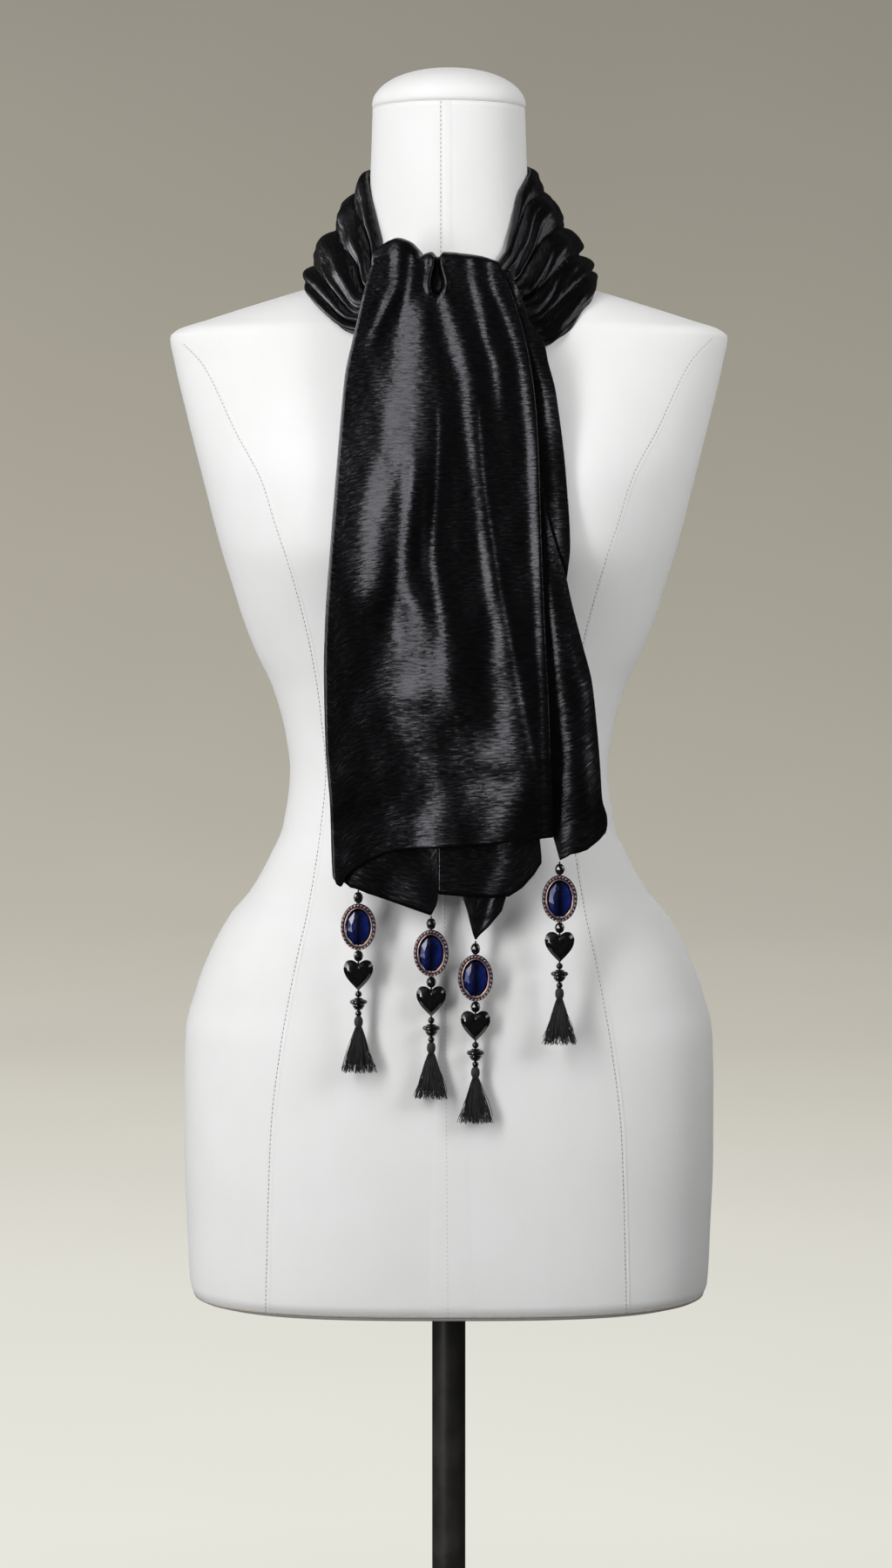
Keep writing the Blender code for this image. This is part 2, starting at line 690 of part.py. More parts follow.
def main():
    """Clear the scene and build the object."""
    for old in list(bpy.data.objects):
        bpy.data.objects.remove(old, do_unlink=True)
    finishes = {
        "jersey": material("white_jersey", (0.86, 0.86, 0.87), 0.85),
        "velvet": material("black_velvet", (0.012, 0.012, 0.016), 0.7),
        "steel": material("black_steel", (0.02, 0.02, 0.02), 0.35, 1.0),
        "jet": material("jet_bead", (0.01, 0.01, 0.01), 0.12),
        "gilt": material("gilt_setting", (0.55, 0.36, 0.25), 0.35, 1.0),
        "sapphire": material("sapphire_stone", (0.01, 0.02, 0.2), 0.08),
        "thread": material("black_thread", (0.01, 0.01, 0.01), 0.8),
    }
    build_form(finishes)
    build_scarf(finishes["velvet"])
    build_pendants(finishes)


main()
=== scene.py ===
"""Looks of a velvet scarf tied round the neck of a limbless dress form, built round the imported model.

The scarf is a long band of black pile velvet with a string of beads and a tassel at each corner.  The form is
covered in white knitted jersey and stands on a black steel pole and round base.

Metres, +Z up.  The front faces -Y and +X is to the viewer's right.  Tables are in millimetres.
"""

import logging
from dataclasses import dataclass
from enum import Enum
from math import cos, pi, radians, sin, tau

import bpy
import numpy as np
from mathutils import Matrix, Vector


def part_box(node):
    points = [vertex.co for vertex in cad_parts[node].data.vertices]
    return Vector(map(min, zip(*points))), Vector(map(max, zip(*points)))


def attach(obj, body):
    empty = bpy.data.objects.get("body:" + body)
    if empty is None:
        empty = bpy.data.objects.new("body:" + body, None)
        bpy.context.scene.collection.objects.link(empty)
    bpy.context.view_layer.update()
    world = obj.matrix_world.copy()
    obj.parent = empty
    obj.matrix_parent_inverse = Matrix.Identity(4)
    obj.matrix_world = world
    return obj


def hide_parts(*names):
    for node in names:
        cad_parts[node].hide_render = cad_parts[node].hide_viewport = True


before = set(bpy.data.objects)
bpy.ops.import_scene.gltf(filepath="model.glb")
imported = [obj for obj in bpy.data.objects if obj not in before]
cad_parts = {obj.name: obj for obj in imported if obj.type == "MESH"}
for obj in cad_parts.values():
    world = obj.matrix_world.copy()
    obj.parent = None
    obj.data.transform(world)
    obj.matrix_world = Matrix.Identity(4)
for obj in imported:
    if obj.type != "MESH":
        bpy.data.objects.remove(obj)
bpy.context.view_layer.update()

log = logging.getLogger("scarf_scene")

Array = np.ndarray
Socket = bpy.types.NodeSocket

MM = 0.001
LEVEL = (1, 1, 0)  # keeps the level part of a direction
FALL_SINK = 0.0032  # how deep the hollows between folds may go, in metres

# ---------------------------------------------------------------- tables

# Level sections of the form: height, half width, front depth, back depth, squareness of the oval
FORM_SECTIONS = (
    (710, 172, 104, 101, 2.9), (713, 181, 111, 108, 2.9), (722, 185, 115, 112, 2.9), (760, 187, 116, 117, 2.8),
    (815, 189, 116, 123, 2.7), (862, 189, 115, 127, 2.6), (900, 188, 114, 127, 2.5), (928, 181, 113, 124, 2.4),
    (950, 173, 111, 119, 2.4), (982, 156, 106, 109, 2.3), (1000, 141, 102, 102, 2.2), (1025, 127, 96, 92, 2.2),
    (1046, 118, 91, 85, 2.2), (1085, 113, 86, 79, 2.2), (1111, 116, 86, 79, 2.2), (1144, 125, 89, 82, 2.2),
    (1170, 137, 93, 86, 2.2), (1193, 146, 97, 90, 2.2), (1219, 154, 101, 93, 2.2), (1245, 162, 104, 96, 2.2),
    (1288, 173, 104, 100, 2.2), (1336, 185, 95, 102, 2.1), (1375, 194, 84, 98, 2.0), (1392, 197, 78, 93, 2.0),
    (1397, 192, 76, 91, 2.0), (1404, 171, 72, 87, 2.0), (1412, 146, 67, 82, 2.0), (1420, 120, 62.5, 77, 2.0),
    (1427, 97, 59.5, 73, 2.0), (1434, 78, 58, 70, 2.0), (1444, 65, 57, 66, 2.0), (1458, 59.5, 56, 62, 2.0),
    (1480, 57, 55.5, 58.5, 2.0), (1514, 55, 54.5, 55.5, 2.0), (1552, 53.7, 53.7, 53.7, 2.0),
)
# Panel seams of the form: height, distance from the middle line
PANEL_SEAM = (
    (714, 125), (840, 121), (900, 114), (935, 108), (965, 102), (992, 96), (1045, 88), (1090, 84), (1125, 87),
    (1151, 90), (1180, 95), (1206, 101), (1235, 109), (1262, 118), (1290, 127), (1325, 146), (1372, 170), (1390, 187),
)
# Middle strip of the front: height, middle of the strip
FRONT_STRIP = ((712, 4), (1100, 1), (1435, -1), (1551, -1))

# The band round the neck, by the angle from the front, to the viewer's left below zero:
# angle, top edge height, its stand-off from the neck, bottom edge height, bottom edge radius
WRAP_SECTIONS = (
    (-180, 1520, 3, 1441, 91), (-135, 1514, 3, 1438, 96), (-90, 1507, 3, 1432, 99), (-66, 1482, 3, 1419, 105),
    (-54, 1462, 3.5, 1408, 107), (-41, 1436, 7, 1393, 103), (-20, 1435, 8, 1387, 95), (0, 1436, 8, 1386, 93),
    (20, 1434, 8, 1382, 95), (38, 1448, 6, 1383, 106), (46, 1464, 4, 1391, 109), (60, 1493, 3, 1411, 109),
    (90, 1509, 3, 1433, 101), (135, 1517, 3, 1438, 96), (180, 1520, 3, 1441, 91),
)
# Where one roll of the band ends and the next begins, as shares of its height: angle, four creases
WRAP_CREASES = (
    (-180, 0.20, 0.50, 0.78, 0.92), (-95, 0.20, 0.54, 0.87, 0.96), (-60, 0.17, 0.44, 0.80, 0.93),
    (-38, 0.16, 0.36, 0.76, 0.91), (0, 0.10, 0.34, 0.62, 0.84), (38, 0.04, 0.29, 0.50, 0.74),
    (60, 0.11, 0.42, 0.65, 0.84), (95, 0.21, 0.53, 0.80, 0.93), (180, 0.20, 0.50, 0.78, 0.92),
)
# The rolls from the top down: how far each bulges, and how much of that it sinks
WRAP_ROLLS = ((3, 0.1), (6.2, 0.14), (7.4, 0.14), (5.4, 0.1), (3.8, 0.05))

# The falling end: height, left edge, right edge, depth
FALL_SECTIONS = (
    (1005, -74, 69, 129.5), (1023, -77, 70, 129.5), (1049, -79, 70, 129.5), (1085, -80, 68.5, 132),
    (1123, -83, 67.5, 132.5), (1172, -84, 65, 132.5), (1205, -83, 63.5, 132), (1246, -80, 62, 129.5),
    (1284, -77, 61, 126), (1332, -73, 59, 117), (1363, -70, 55.5, 112), (1390, -64, 50, 107), (1419, -57, 41, 101),
    (1436, -52, 34, 96),
)
# Its hem and its crest: place across, height
FALL_HEM = (
    (-77, 1021), (-75, 1015.5), (-72, 1014), (-68, 1021), (-50, 1033), (-31, 1039), (-4, 1040.5), (42, 1044.5),
    (70, 1048),
)
OVERFOLD_CREST = (
    (-52, 1447), (-44, 1452), (-38, 1454), (-30, 1452), (-23, 1446), (-20.5, 1441), (-17, 1443.5), (-13, 1444.5),
    (-10, 1441.5), (-7, 1442), (-4, 1444.5), (10, 1443.5), (24, 1441.5), (34, 1438),
)

# The part behind the deep fold: height, left edge, right edge, how far behind the falling end's depth
FRONT_FLAP_SECTIONS = (
    (1031, 62, 108, 3.5), (1060, 62, 107.5, 3.5), (1074, 61, 104, 3.5), (1096, 60, 102.5, 3.5), (1124, 59, 100, 3.5),
    (1152, 58, 97, 4), (1178, 57, 90.5, 4.5), (1205, 56, 83.5, 5), (1225, 55, 79, 5.5), (1248, 53, 71.5, 5.5),
    (1272, 51, 65, 5), (1290, 49, 62.5, 4.5),
)
FRONT_FLAP_HEM = (
    (62, 1050), (70.5, 1049), (73, 1040), (75.3, 1031.6), (79, 1033.5), (83, 1036), (88, 1036.8), (94, 1039),
    (102, 1045.5), (106.8, 1051), (107.8, 1056),
)
BACK_FLAP_SECTIONS = (
    (1170, 50, 74, 9), (1190, 50, 75, 9), (1220, 50, 79.5, 9), (1246, 50, 82, 8.5), (1290, 48, 79.5, 8),
    (1316, 47, 77, 7), (1339, 46, 74, 6.5), (1352, 44, 72, 6), (1369, 41, 67.5, 5.5), (1381, 39, 65, 5),
    (1401, 32, 53.5, 4), (1418, 27, 48, 3.5), (1436, 22, 39, 2),
)

# The end beneath: height, left edge, inner edge, right edge, depth
UNDER_SECTIONS = (
    (975, -72, -7, 63, 123.5), (1030, -72, -7, 63, 123.5), (1060, -68, -7, 60, 123.5), (1100, -62, -7, 58, 123.5),
    (1246, -44, -4, 42, 123.5), (1284, -38, -3, 36, 120), (1332, -34, -2, 32, 109), (1363, -31, -2, 29, 101),
    (1396, -29, -1, 27, 93.4),
)
UNDER_LEFT_HEM = ((-72, 1017), (-67, 1013), (-61.7, 1011.7), (-56, 1009.2), (-12.1, 993.9), (-8.5, 1001), (-7, 1010))
UNDER_RIGHT_HEM = ((-6.6, 1008.5), (9, 1007), (30, 1006), (41, 1007), (50, 1013), (58, 1022), (63, 1030))
# Its pointed corner: height, left edge, right edge, depth
CORNER_SECTIONS = ((975, 8, 40, 122.6), (1010, 8.5, 40, 122.6), (1090, 6, 42, 122.6))
CORNER_HEM = ((8, 1009), (12, 997), (16.2, 981), (18.1, 976.7), (20.5, 980), (27, 986), (36, 997), (40, 1010))

# A disc bead from the bottom up: share of its radius, height
SAUCER_STEPS = (
    (0.30, 0.0), (0.46, 0.5), (0.62, 1.8), (0.72, 2.8), (0.74, 3.3), (0.66, 3.7), (0.66, 4.0), (0.92, 4.3),
    (1.04, 5.0), (1.04, 6.0), (0.94, 6.8), (0.66, 7.3), (0.52, 7.6), (0.5, 8.0), (0.36, 8.4),
)

# Lit slopes of the cloth, each from the top down: height, place across, half width, steepness
FALL_FOLDS = {
    "crest_left": (
        (1450, -37, 3, 0.5), (1425, -37.5, 3, 0.6), (1406, -45, 3, 0.6), (1389, -52, 3, 0.45), (1376, -56, 3, 0),
    ),
    "crest_second": ((1450, -24, 2.5, 0.35), (1425, -27, 2.5, 0.5), (1400, -31, 3, 0.35), (1385, -34, 4, 0)),
    "broad": (
        (1420, -20, 3, 0.0), (1400, -24.5, 9, 0.5), (1365, -30, 15, 0.55), (1338, -34, 17, 0.58),
        (1315, -38, 18, 0.58), (1284, -47, 17, 0.56), (1267, -51, 14, 0.52), (1246, -53, 11, 0.5),
        (1226, -54, 9, 0.4), (1198, -56, 8, 0),
    ),
    "beside_broad": (
        (1314, -26, 3, 0), (1294, -27, 4.2, 0.52), (1253, -30, 4.8, 0.56), (1213, -32, 6, 0.54), (1195, -31, 8, 0.4),
        (1170, -31, 8, 0),
    ),
    "dim_pleat": ((1300, -17, 3, 0), (1270, -17, 3, 0.3), (1235, -17, 3.5, 0.3), (1205, -16, 4, 0)),
    "middle_pleat": (
        (1345, -7, 1.5, 0), (1328, -7, 1.6, 0.35), (1288, -8, 2, 0.42), (1240, -11, 2.6, 0.46), (1213, -8, 3.4, 0.5),
        (1187, -5, 4.5, 0.42), (1160, -4, 6, 0.3), (1130, 0, 8, 0),
    ),
    "patch": (
        (1222, -30, 8, 0), (1190, -23, 17, 0.48), (1160, -22, 21, 0.56), (1140, -26, 22, 0.56), (1121, -26, 19, 0.54),
        (1100, -20, 18, 0.54), (1085, -14, 15, 0.5), (1070, -12, 15, 0.54), (1055, -16, 17, 0.56),
        (1038, -18, 17, 0.5),
    ),
    "wing": ((1074, -47, 5, 0), (1066, -41, 8, 0.35), (1056, -34, 8, 0.35), (1046, -30, 8, 0)),
    "right_pleat": (
        (1425, -10, 3, 0), (1412, -5, 4.5, 0.5), (1384, 3, 6.5, 0.55), (1354, 11.5, 6, 0.52), (1328, 12.5, 5, 0.46),
        (1281, 19, 4, 0.45), (1234, 24.5, 4, 0.5), (1207, 29, 5, 0.5), (1187, 33, 6, 0.5), (1160, 35, 9, 0.5),
        (1135, 37, 13, 0.55), (1115, 38, 17, 0.58), (1098, 38, 19, 0.6), (1084, 37, 19, 0.6), (1070, 34, 17, 0.55),
        (1056, 30, 14, 0.46), (1044, 28, 12, 0.3),
    ),
    "crest_right": (
        (1450, 13, 3, 0.35), (1426, 15.5, 3.2, 0.5), (1408, 20, 3.4, 0.52), (1385, 25, 3.6, 0.52),
        (1365, 31, 3.8, 0.5), (1348, 33, 3.8, 0.4), (1326, 34, 3.5, 0),
    ),
    "second_line": (
        (1345, 20, 1.5, 0), (1335, 20.4, 1.5, 0.3), (1294, 23.4, 1.5, 0.35), (1247, 30, 1.5, 0.4),
        (1213, 35.5, 1.7, 0.4), (1179, 42, 1.8, 0.35), (1152, 47, 2, 0.3), (1119, 53, 2, 0.25), (1084, 60, 2, 0.2),
        (1060, 63, 2, 0),
    ),
    "patch_low": (
        (1150, -4, 9, 0), (1128, 3, 15, 0.42), (1106, 10, 17, 0.46), (1084, 15, 15, 0.3), (1058, 18, 12, 0),
    ),
    "edge_ridge": (
        (1450, 26, 2.5, 0.3), (1425, 29, 2.6, 0.4), (1402, 38, 3, 0.45), (1378, 46, 3, 0.42), (1351, 51, 3.5, 0.46),
        (1331, 53.3, 3.8, 0.5), (1301, 55.5, 4, 0.52), (1254, 57.5, 4, 0.52), (1213, 59.5, 3.5, 0.48),
        (1173, 61, 2.6, 0.42), (1146, 62.3, 2.2, 0.4), (1100, 63.5, 2, 0.3), (1060, 65, 2, 0.2),
    ),
    "left_of_tuck": ((1450, -17, 1.2, 0.3), (1436, -15.5, 1.2, 0.4), (1424, -15, 1.5, 0.35), (1405, -16, 2, 0)),
}
FLAP_FOLDS = {
    "flap_ridge": (
        (1230, 67, 1.5, 0), (1213, 68.5, 2, 0.35), (1173, 72, 3, 0.42), (1146, 75.5, 3.5, 0.45), (1133, 77, 4, 0.46),
        (1100, 80, 4.5, 0.46), (1079, 79, 6, 0.42), (1052, 79.5, 5, 0.35),
    ),
    "flap_faint": (
        (1190, 80, 3, 0), (1165, 86, 3, 0.2), (1140, 93, 4, 0.28), (1092, 95, 4, 0.28), (1060, 97, 4, 0.1),
    ),
}
BACK_FLAP_FOLDS = {
    "flap_high": ((1400, 46, 2, 0.3), (1350, 64, 3, 0.3), (1300, 71, 3, 0.25), (1250, 74, 3, 0.2), (1220, 74, 3, 0)),
}
UNDER_FOLDS = {
    "under_soft": ((1060, 40, 5, 0.1), (1030, 36, 6, 0.25), (1008, 28, 6, 0.2)),
}
CORNER_FOLDS = {
    "corner_fold": ((1030, 31, 2, 0.3), (1010, 30, 2, 0.4), (985, 24, 2, 0.3)),
}


# ---------------------------------------------------------------- curves and grids


def read(table: tuple, index: int, at: Array) -> Array:
    """Reads a column of a table, between its rows too, by values of its first column.

    The curve is a monotone cubic: each slope is the harmonic mean of the chords on either side.

    Args:
        table: Rows that rise in the first column.
        index: The column that is read.
        at: Where it is read.

    Returns:
        The column's values, held level beyond both ends.
    """
    rows = np.asarray(table, float)
    xs, ys = rows[:, 0], rows[:, index]
    step = np.diff(xs)
    chord = np.diff(ys) / step
    before, after = chord[:-1], chord[1:]
    turning = before * after <= 0
    inner = np.where(turning, 0.0, 2 * before * after / np.where(turning, 1.0, before + after))
    slope = np.concatenate([chord[:1], inner, chord[-1:]])
    cell = np.clip(np.searchsorted(xs, at) - 1, 0, len(step) - 1)
    width = step[cell]
    t = np.clip((at - xs[cell]) / width, 0, 1)
    start = (2 * t**3 - 3 * t**2 + 1) * ys[cell] + (t**3 - 2 * t**2 + t) * width * slope[cell]
    end = (3 * t**2 - 2 * t**3) * ys[cell + 1] + (t**3 - t**2) * width * slope[cell + 1]
    return start + end


def column(table: tuple, index: int, at: Array) -> Array:
    """A column of a table in millimetres, read in metres at values of its first column in metres."""
    return read(table, index, np.asarray(at, float) / MM) * MM


def ripple(seed: int, u: Array, v: Array, sizes: tuple, count: int = 10) -> Array:
    """Smooth unevenness: the mean of sine waves whose lengths and phases are drawn from a seeded generator.

    Args:
        seed: Chooses the waves.
        u: First surface coordinate, in metres.
        v: Second surface coordinate, in metres.
        sizes: Wave lengths along u and along v, in metres.
        count: Number of waves.

    Returns:
        Values of about -1 to 1.
    """
    draw = np.random.default_rng(seed)
    total = np.zeros(np.broadcast(u, v).shape)
    for _ in range(count):
        across, along = tau / (np.asarray(sizes) * draw.uniform(0.6, 1.7, 2)) * draw.choice((-1, 1), 2)
        total += np.sin(across * u + along * v + draw.uniform(0, tau))
    return total / count**0.5


def fold_relief(folds: dict, x: Array, height: Array, floor: float | Array = -FALL_SINK) -> Array:
    """How far the folds stand forward.

    Each fold rises by the hyperbolic tangent of the distance across it, and sinks back by a tangent
    a few times as wide, so that it ends where it began on both sides.  The sum is held above a floor,
    so that the cloth behind stays behind.

    Args:
        folds: The paths of the folds.
        x: Places across the cloth, in metres.
        height: Heights, in metres.
        floor: The lowest relief, in metres.

    Returns:
        The relief in metres, forward above zero.
    """
    sink_width, soft = 3.2, 0.0007
    total = np.zeros(np.broadcast(x, height).shape)
    for path in folds.values():
        place, width, steep = (read(path[::-1], i, height / MM) for i in (1, 2, 3))
        away = (x / MM - place) / width
        total += steep * width * (np.tanh(away) - np.tanh(away / sink_width)) * MM
    return floor + soft * np.log1p(np.exp(((total - floor) / soft).clip(-40, 40)))


def turns(count: int, shift: float = 0.0) -> Array:
    """Angles at even steps round a circle, shifted by a share of a step."""
    return tau * (np.arange(count) + shift) / count


def unit(vectors: Array) -> Array:
    """The vectors at length one."""
    return vectors / np.linalg.norm(vectors, axis=-1, keepdims=True)


def quads(rows: int, columns: int, closed: bool = False) -> Array:
    """Corner numbers of the quads between neighbours in a grid of points.

    Args:
        rows: Rows of the grid.
        columns: Points in each row.
        closed: Whether the last column joins the first.

    Returns:
        Four corners for each quad.
    """
    index = np.arange(rows * columns).reshape(rows, columns)
    if closed:
        index = np.concatenate([index, index[:, :1]], axis=1)
    around = (index[:-1, :-1], index[:-1, 1:], index[1:, 1:], index[1:, :-1])
    return np.stack(around, axis=-1).reshape(-1, 4)


def capped(rows: int, columns: int) -> list:
    """Faces of a closed grid of points with a polygon over each end.

    Args:
        rows: Rows of the grid.
        columns: Points in each row.

    Returns:
        The quads, the polygon over the first row and the one over the last.
    """
    last = (rows - 1) * columns
    caps = [list(range(columns))[::-1], list(range(last, last + columns))]
    return quads(rows, columns, closed=True).tolist() + caps


def arc_lengths(points: Array) -> Array:
    """Surface coordinates of a grid: its mean lengths along columns and rows.

    Args:
        points: The grid.

    Returns:
        Two coordinates for each point, in metres.
    """
    across = np.linalg.norm(np.diff(points, axis=1), axis=2).mean(axis=0)
    down = np.linalg.norm(np.diff(points, axis=0), axis=2).mean(axis=1)
    u, v = (np.concatenate([[0.0], np.cumsum(steps)]) for steps in (across, down))
    return np.stack(np.meshgrid(u, v), axis=-1)


# ---------------------------------------------------------------- materials


class Slot(Enum):
    """Material slots of the record."""

    JERSEY = "white_jersey"
    VELVET = "black_velvet"
    STEEL = "black_steel"
    JET = "jet_bead"
    GILT = "gilt_setting"
    SAPPHIRE = "sapphire_stone"
    THREAD = "black_thread"


class Held(Enum):
    """How a stretch of cloth is held."""

    HUNG = "hung"
    GATHERED = "gathered"


class Space(Enum):
    """Coordinates that a pattern follows; generated ones are the direction in a world."""

    OBJECT = "Object"
    UV = "UV"
    GENERATED = "Generated"


class Nodes:
    """A tree of shader nodes."""

    def __init__(self, owner: bpy.types.ID) -> None:
        """Starts the tree of a material or a world."""
        owner.use_nodes = True
        self.tree = owner.node_tree

    def feed(self, socket: Socket, value: object) -> None:
        """Links a socket to another, or sets its own value.

        Args:
            socket: The input.
            value: An output, a number, a vector or a colour.
        """
        if isinstance(value, Socket):
            self.tree.links.new(value, socket)
        elif isinstance(value, tuple) and len(value) == 3 and socket.type == "RGBA":
            socket.default_value = (*value, 1.0)
        else:
            socket.default_value = value

    def node(self, kind: str, sockets: dict, **settings: str) -> bpy.types.Node:
        """Adds a node.

        Args:
            kind: Its type, without the first word.
            sockets: Values or links for its inputs, by name or number.
            settings: Its own properties.

        Returns:
            The node.
        """
        made = self.tree.nodes.new("ShaderNode" + kind)
        for key, value in settings.items():
            setattr(made, key, value)
        for key, value in sockets.items():
            self.feed(made.inputs[key], value)
        return made

    def coordinates(self, space: Space) -> Socket:
        """The coordinates of a space."""
        return self.node("TexCoord", {}).outputs[space.value]

    def axes(self, space: Space) -> tuple:
        """X, Y and Z of a space."""
        return tuple(self.node("SeparateXYZ", {"Vector": self.coordinates(space)}).outputs)

    def place(self, space: Space, scale: tuple) -> Socket:
        """Coordinates, scaled along each axis."""
        return self.node("Mapping", {"Vector": self.coordinates(space), "Scale": scale}).outputs["Vector"]

    def noise(self, space: Space, scale: tuple, detail: float = 2.0, output: str = "Fac") -> Socket:
        """Noise with about scale grains to the metre along each axis, as a factor or as a colour."""
        sockets = {"Vector": self.place(space, scale), "Scale": 1.0, "Detail": detail, "Roughness": 0.6}
        return self.node("TexNoise", sockets).outputs[output]

    def ramp(self, factor: Socket, *stops: tuple) -> Socket:
        """Colours or grey levels by a factor.

        Args:
            factor: From 0 to 1.
            stops: Each a place, and a colour or a grey level.

        Returns:
            The colour.
        """
        made = self.node("ValToRGB", {"Fac": factor})
        elements = made.color_ramp.elements
        while len(elements) < len(stops):
            elements.new(0.5)
        for element, (place, colour) in zip(elements, stops):
            element.position = place
            element.color = (*(colour if isinstance(colour, tuple) else (colour,) * 3), 1.0)
        return made.outputs["Color"]

    def tinted(self, first: Socket, second: Socket) -> Socket:
        """The product of two colours."""
        return self.node("Mix", {0: 1.0, 6: first, 7: second}, data_type="RGBA", blend_type="MULTIPLY").outputs[2]

    def math(self, operation: str, first: object, second: object = 0.0) -> Socket:
        """One sum of sockets or numbers."""
        return self.node("Math", {0: first, 1: second}, operation=operation).outputs[0]


class Paint(Nodes):
    """The node tree of one material."""

    def __init__(self, name: str) -> None:
        """Starts a material with its Principled shader.

        Args:
            name: The material's name.
        """
        self.material = bpy.data.materials.new(name)
        super().__init__(self.material)
        self.shader = self.tree.nodes["Principled BSDF"]

    def surface(self, **values: object) -> None:
        """Sets or links inputs of the Principled shader, named with underscores for spaces."""
        for key, value in values.items():
            self.feed(self.shader.inputs[key.replace("_", " ")], value)

    def lean(self, scale: tuple, strength: float) -> Socket:
        """A normal that leans to and fro in patches along the surface: noise colours with a level third axis.

        Args:
            scale: Patches to the metre along each axis.
            strength: How far it leans.

        Returns:
            The normal.
        """
        sockets = {0: self.noise(Space.UV, scale, output="Color"), 1: (1.0, 1.0, 0.0), 2: (0.0, 0.0, 1.0)}
        level = self.node("VectorMath", sockets, operation="MULTIPLY_ADD").outputs[0]
        return self.node("NormalMap", {"Strength": strength, "Color": level}).outputs["Normal"]

    def bump(self, *layers: tuple, normal: Socket | None = None) -> None:
        """Stacks height patterns on a normal, into the shader's.

        Args:
            layers: Each a pattern, its strength and its depth in metres.
            normal: The normal to start from.
        """
        for pattern, strength, depth in layers:
            sockets = {"Height": pattern, "Strength": strength, "Distance": depth}
            if normal is not None:
                sockets["Normal"] = normal
            normal = self.node("Bump", sockets).outputs["Normal"]
        self.feed(self.shader.inputs["Normal"], normal)


@dataclass(frozen=True)
class Finish:
    """What a piece is dressed in: a material and the slot of the record that it fills."""

    material: bpy.types.Material
    slot: Slot


@dataclass(frozen=True)
class Jersey:
    """White knitted cotton stretched over padding: fine upright wales and a little unevenness."""

    dull: tuple = (0.77, 0.77, 0.765)
    light: tuple = (0.80, 0.80, 0.80)

    def make(self) -> Finish:
        """Builds the finish."""
        paint = Paint("knitted_jersey")
        cloudy = paint.noise(Space.OBJECT, (14, 14, 9), 3.0)
        knit = paint.noise(Space.OBJECT, (900, 900, 420), 1.0)
        soft = paint.noise(Space.OBJECT, (60, 60, 30))
        paint.surface(
            Base_Color=paint.ramp(cloudy, (0.35, self.dull), (0.65, self.light)),
            Roughness=paint.ramp(knit, (0.3, 0.82), (0.7, 0.94)),
            Specular_IOR_Level=0.25,
            Sheen_Weight=0.12,
            Sheen_Roughness=0.5,
        )
        paint.bump((soft, 0.12, 0.0006), (knit, 0.25, 0.00025))
        return Finish(paint.material, Slot.JERSEY)


@dataclass(frozen=True)
class Velvet:
    """Black silk pile: near black, with a broad soft gloss broken into short level streaks by the nap."""

    deep: tuple = (0.0006, 0.0006, 0.0008)
    worn: tuple = (0.0018, 0.0018, 0.0022)

    def make(self) -> Finish:
        """Builds the finish."""
        paint = Paint("silk_velvet")
        streaks = paint.noise(Space.UV, (260, 1100, 1), 3.0)
        brushed = paint.noise(Space.UV, (90, 420, 1))
        ribs = {"Vector": paint.place(Space.UV, (900, 40, 1)), "Scale": 1.0, "Distortion": 1.2, "Detail": 1.0}
        ground = paint.node("TexWave", ribs, bands_direction="X").outputs["Fac"]
        paint.surface(
            Base_Color=paint.ramp(brushed, (0.35, self.deep), (0.7, self.worn)),
            Roughness=paint.ramp(streaks, (0.3, 0.26), (0.7, 0.36)),
            Specular_IOR_Level=0.46,
            Specular_Tint=(0.93, 0.92, 1.0),
            Sheen_Weight=0.01,
            Sheen_Roughness=0.35,
            Sheen_Tint=(0.75, 0.75, 0.85),
        )
        paint.bump((brushed, 0.22, 0.0003), (ground, 0.15, 0.0001), normal=paint.lean((185, 780, 1), 0.31))
        return Finish(paint.material, Slot.VELVET)


@dataclass(frozen=True)
class Thread:
    """Matt spun thread with a faint twist."""

    dark: tuple = (0.006, 0.006, 0.006)
    light: tuple = (0.022, 0.022, 0.022)

    def make(self) -> Finish:
        """Builds the finish."""
        paint = Paint("spun_thread")
        strands = paint.noise(Space.OBJECT, (1500, 1500, 260))
        paint.surface(
            Base_Color=paint.ramp(strands, (0.3, self.dark), (0.7, self.light)),
            Roughness=paint.ramp(strands, (0.3, 0.55), (0.7, 0.8)),
            Specular_IOR_Level=0.4,
            Sheen_Weight=0.1,
        )
        paint.bump((strands, 0.3, 0.0002))
        return Finish(paint.material, Slot.THREAD)


@dataclass(frozen=True)
class Enamel:
    """Glossy or metallic coating with slight mottling."""

    name: str
    slot: Slot
    light: tuple
    dark: tuple
    roughness: tuple
    metallic: float = 0.0
    coat: float = 0.0
    grains: float = 500.0

    def make(self) -> Finish:
        """Builds the finish."""
        paint = Paint(self.name)
        mottle = paint.noise(Space.OBJECT, (self.grains,) * 3)
        low, high = self.roughness
        paint.surface(
            Base_Color=paint.ramp(mottle, (0.35, self.dark), (0.65, self.light)),
            Roughness=paint.ramp(mottle, (0.3, low), (0.7, high)),
            Metallic=self.metallic,
            Coat_Weight=self.coat,
            Coat_Roughness=0.06,
        )
        paint.bump((mottle, 0.3, 0.00005))
        return Finish(paint.material, self.slot)


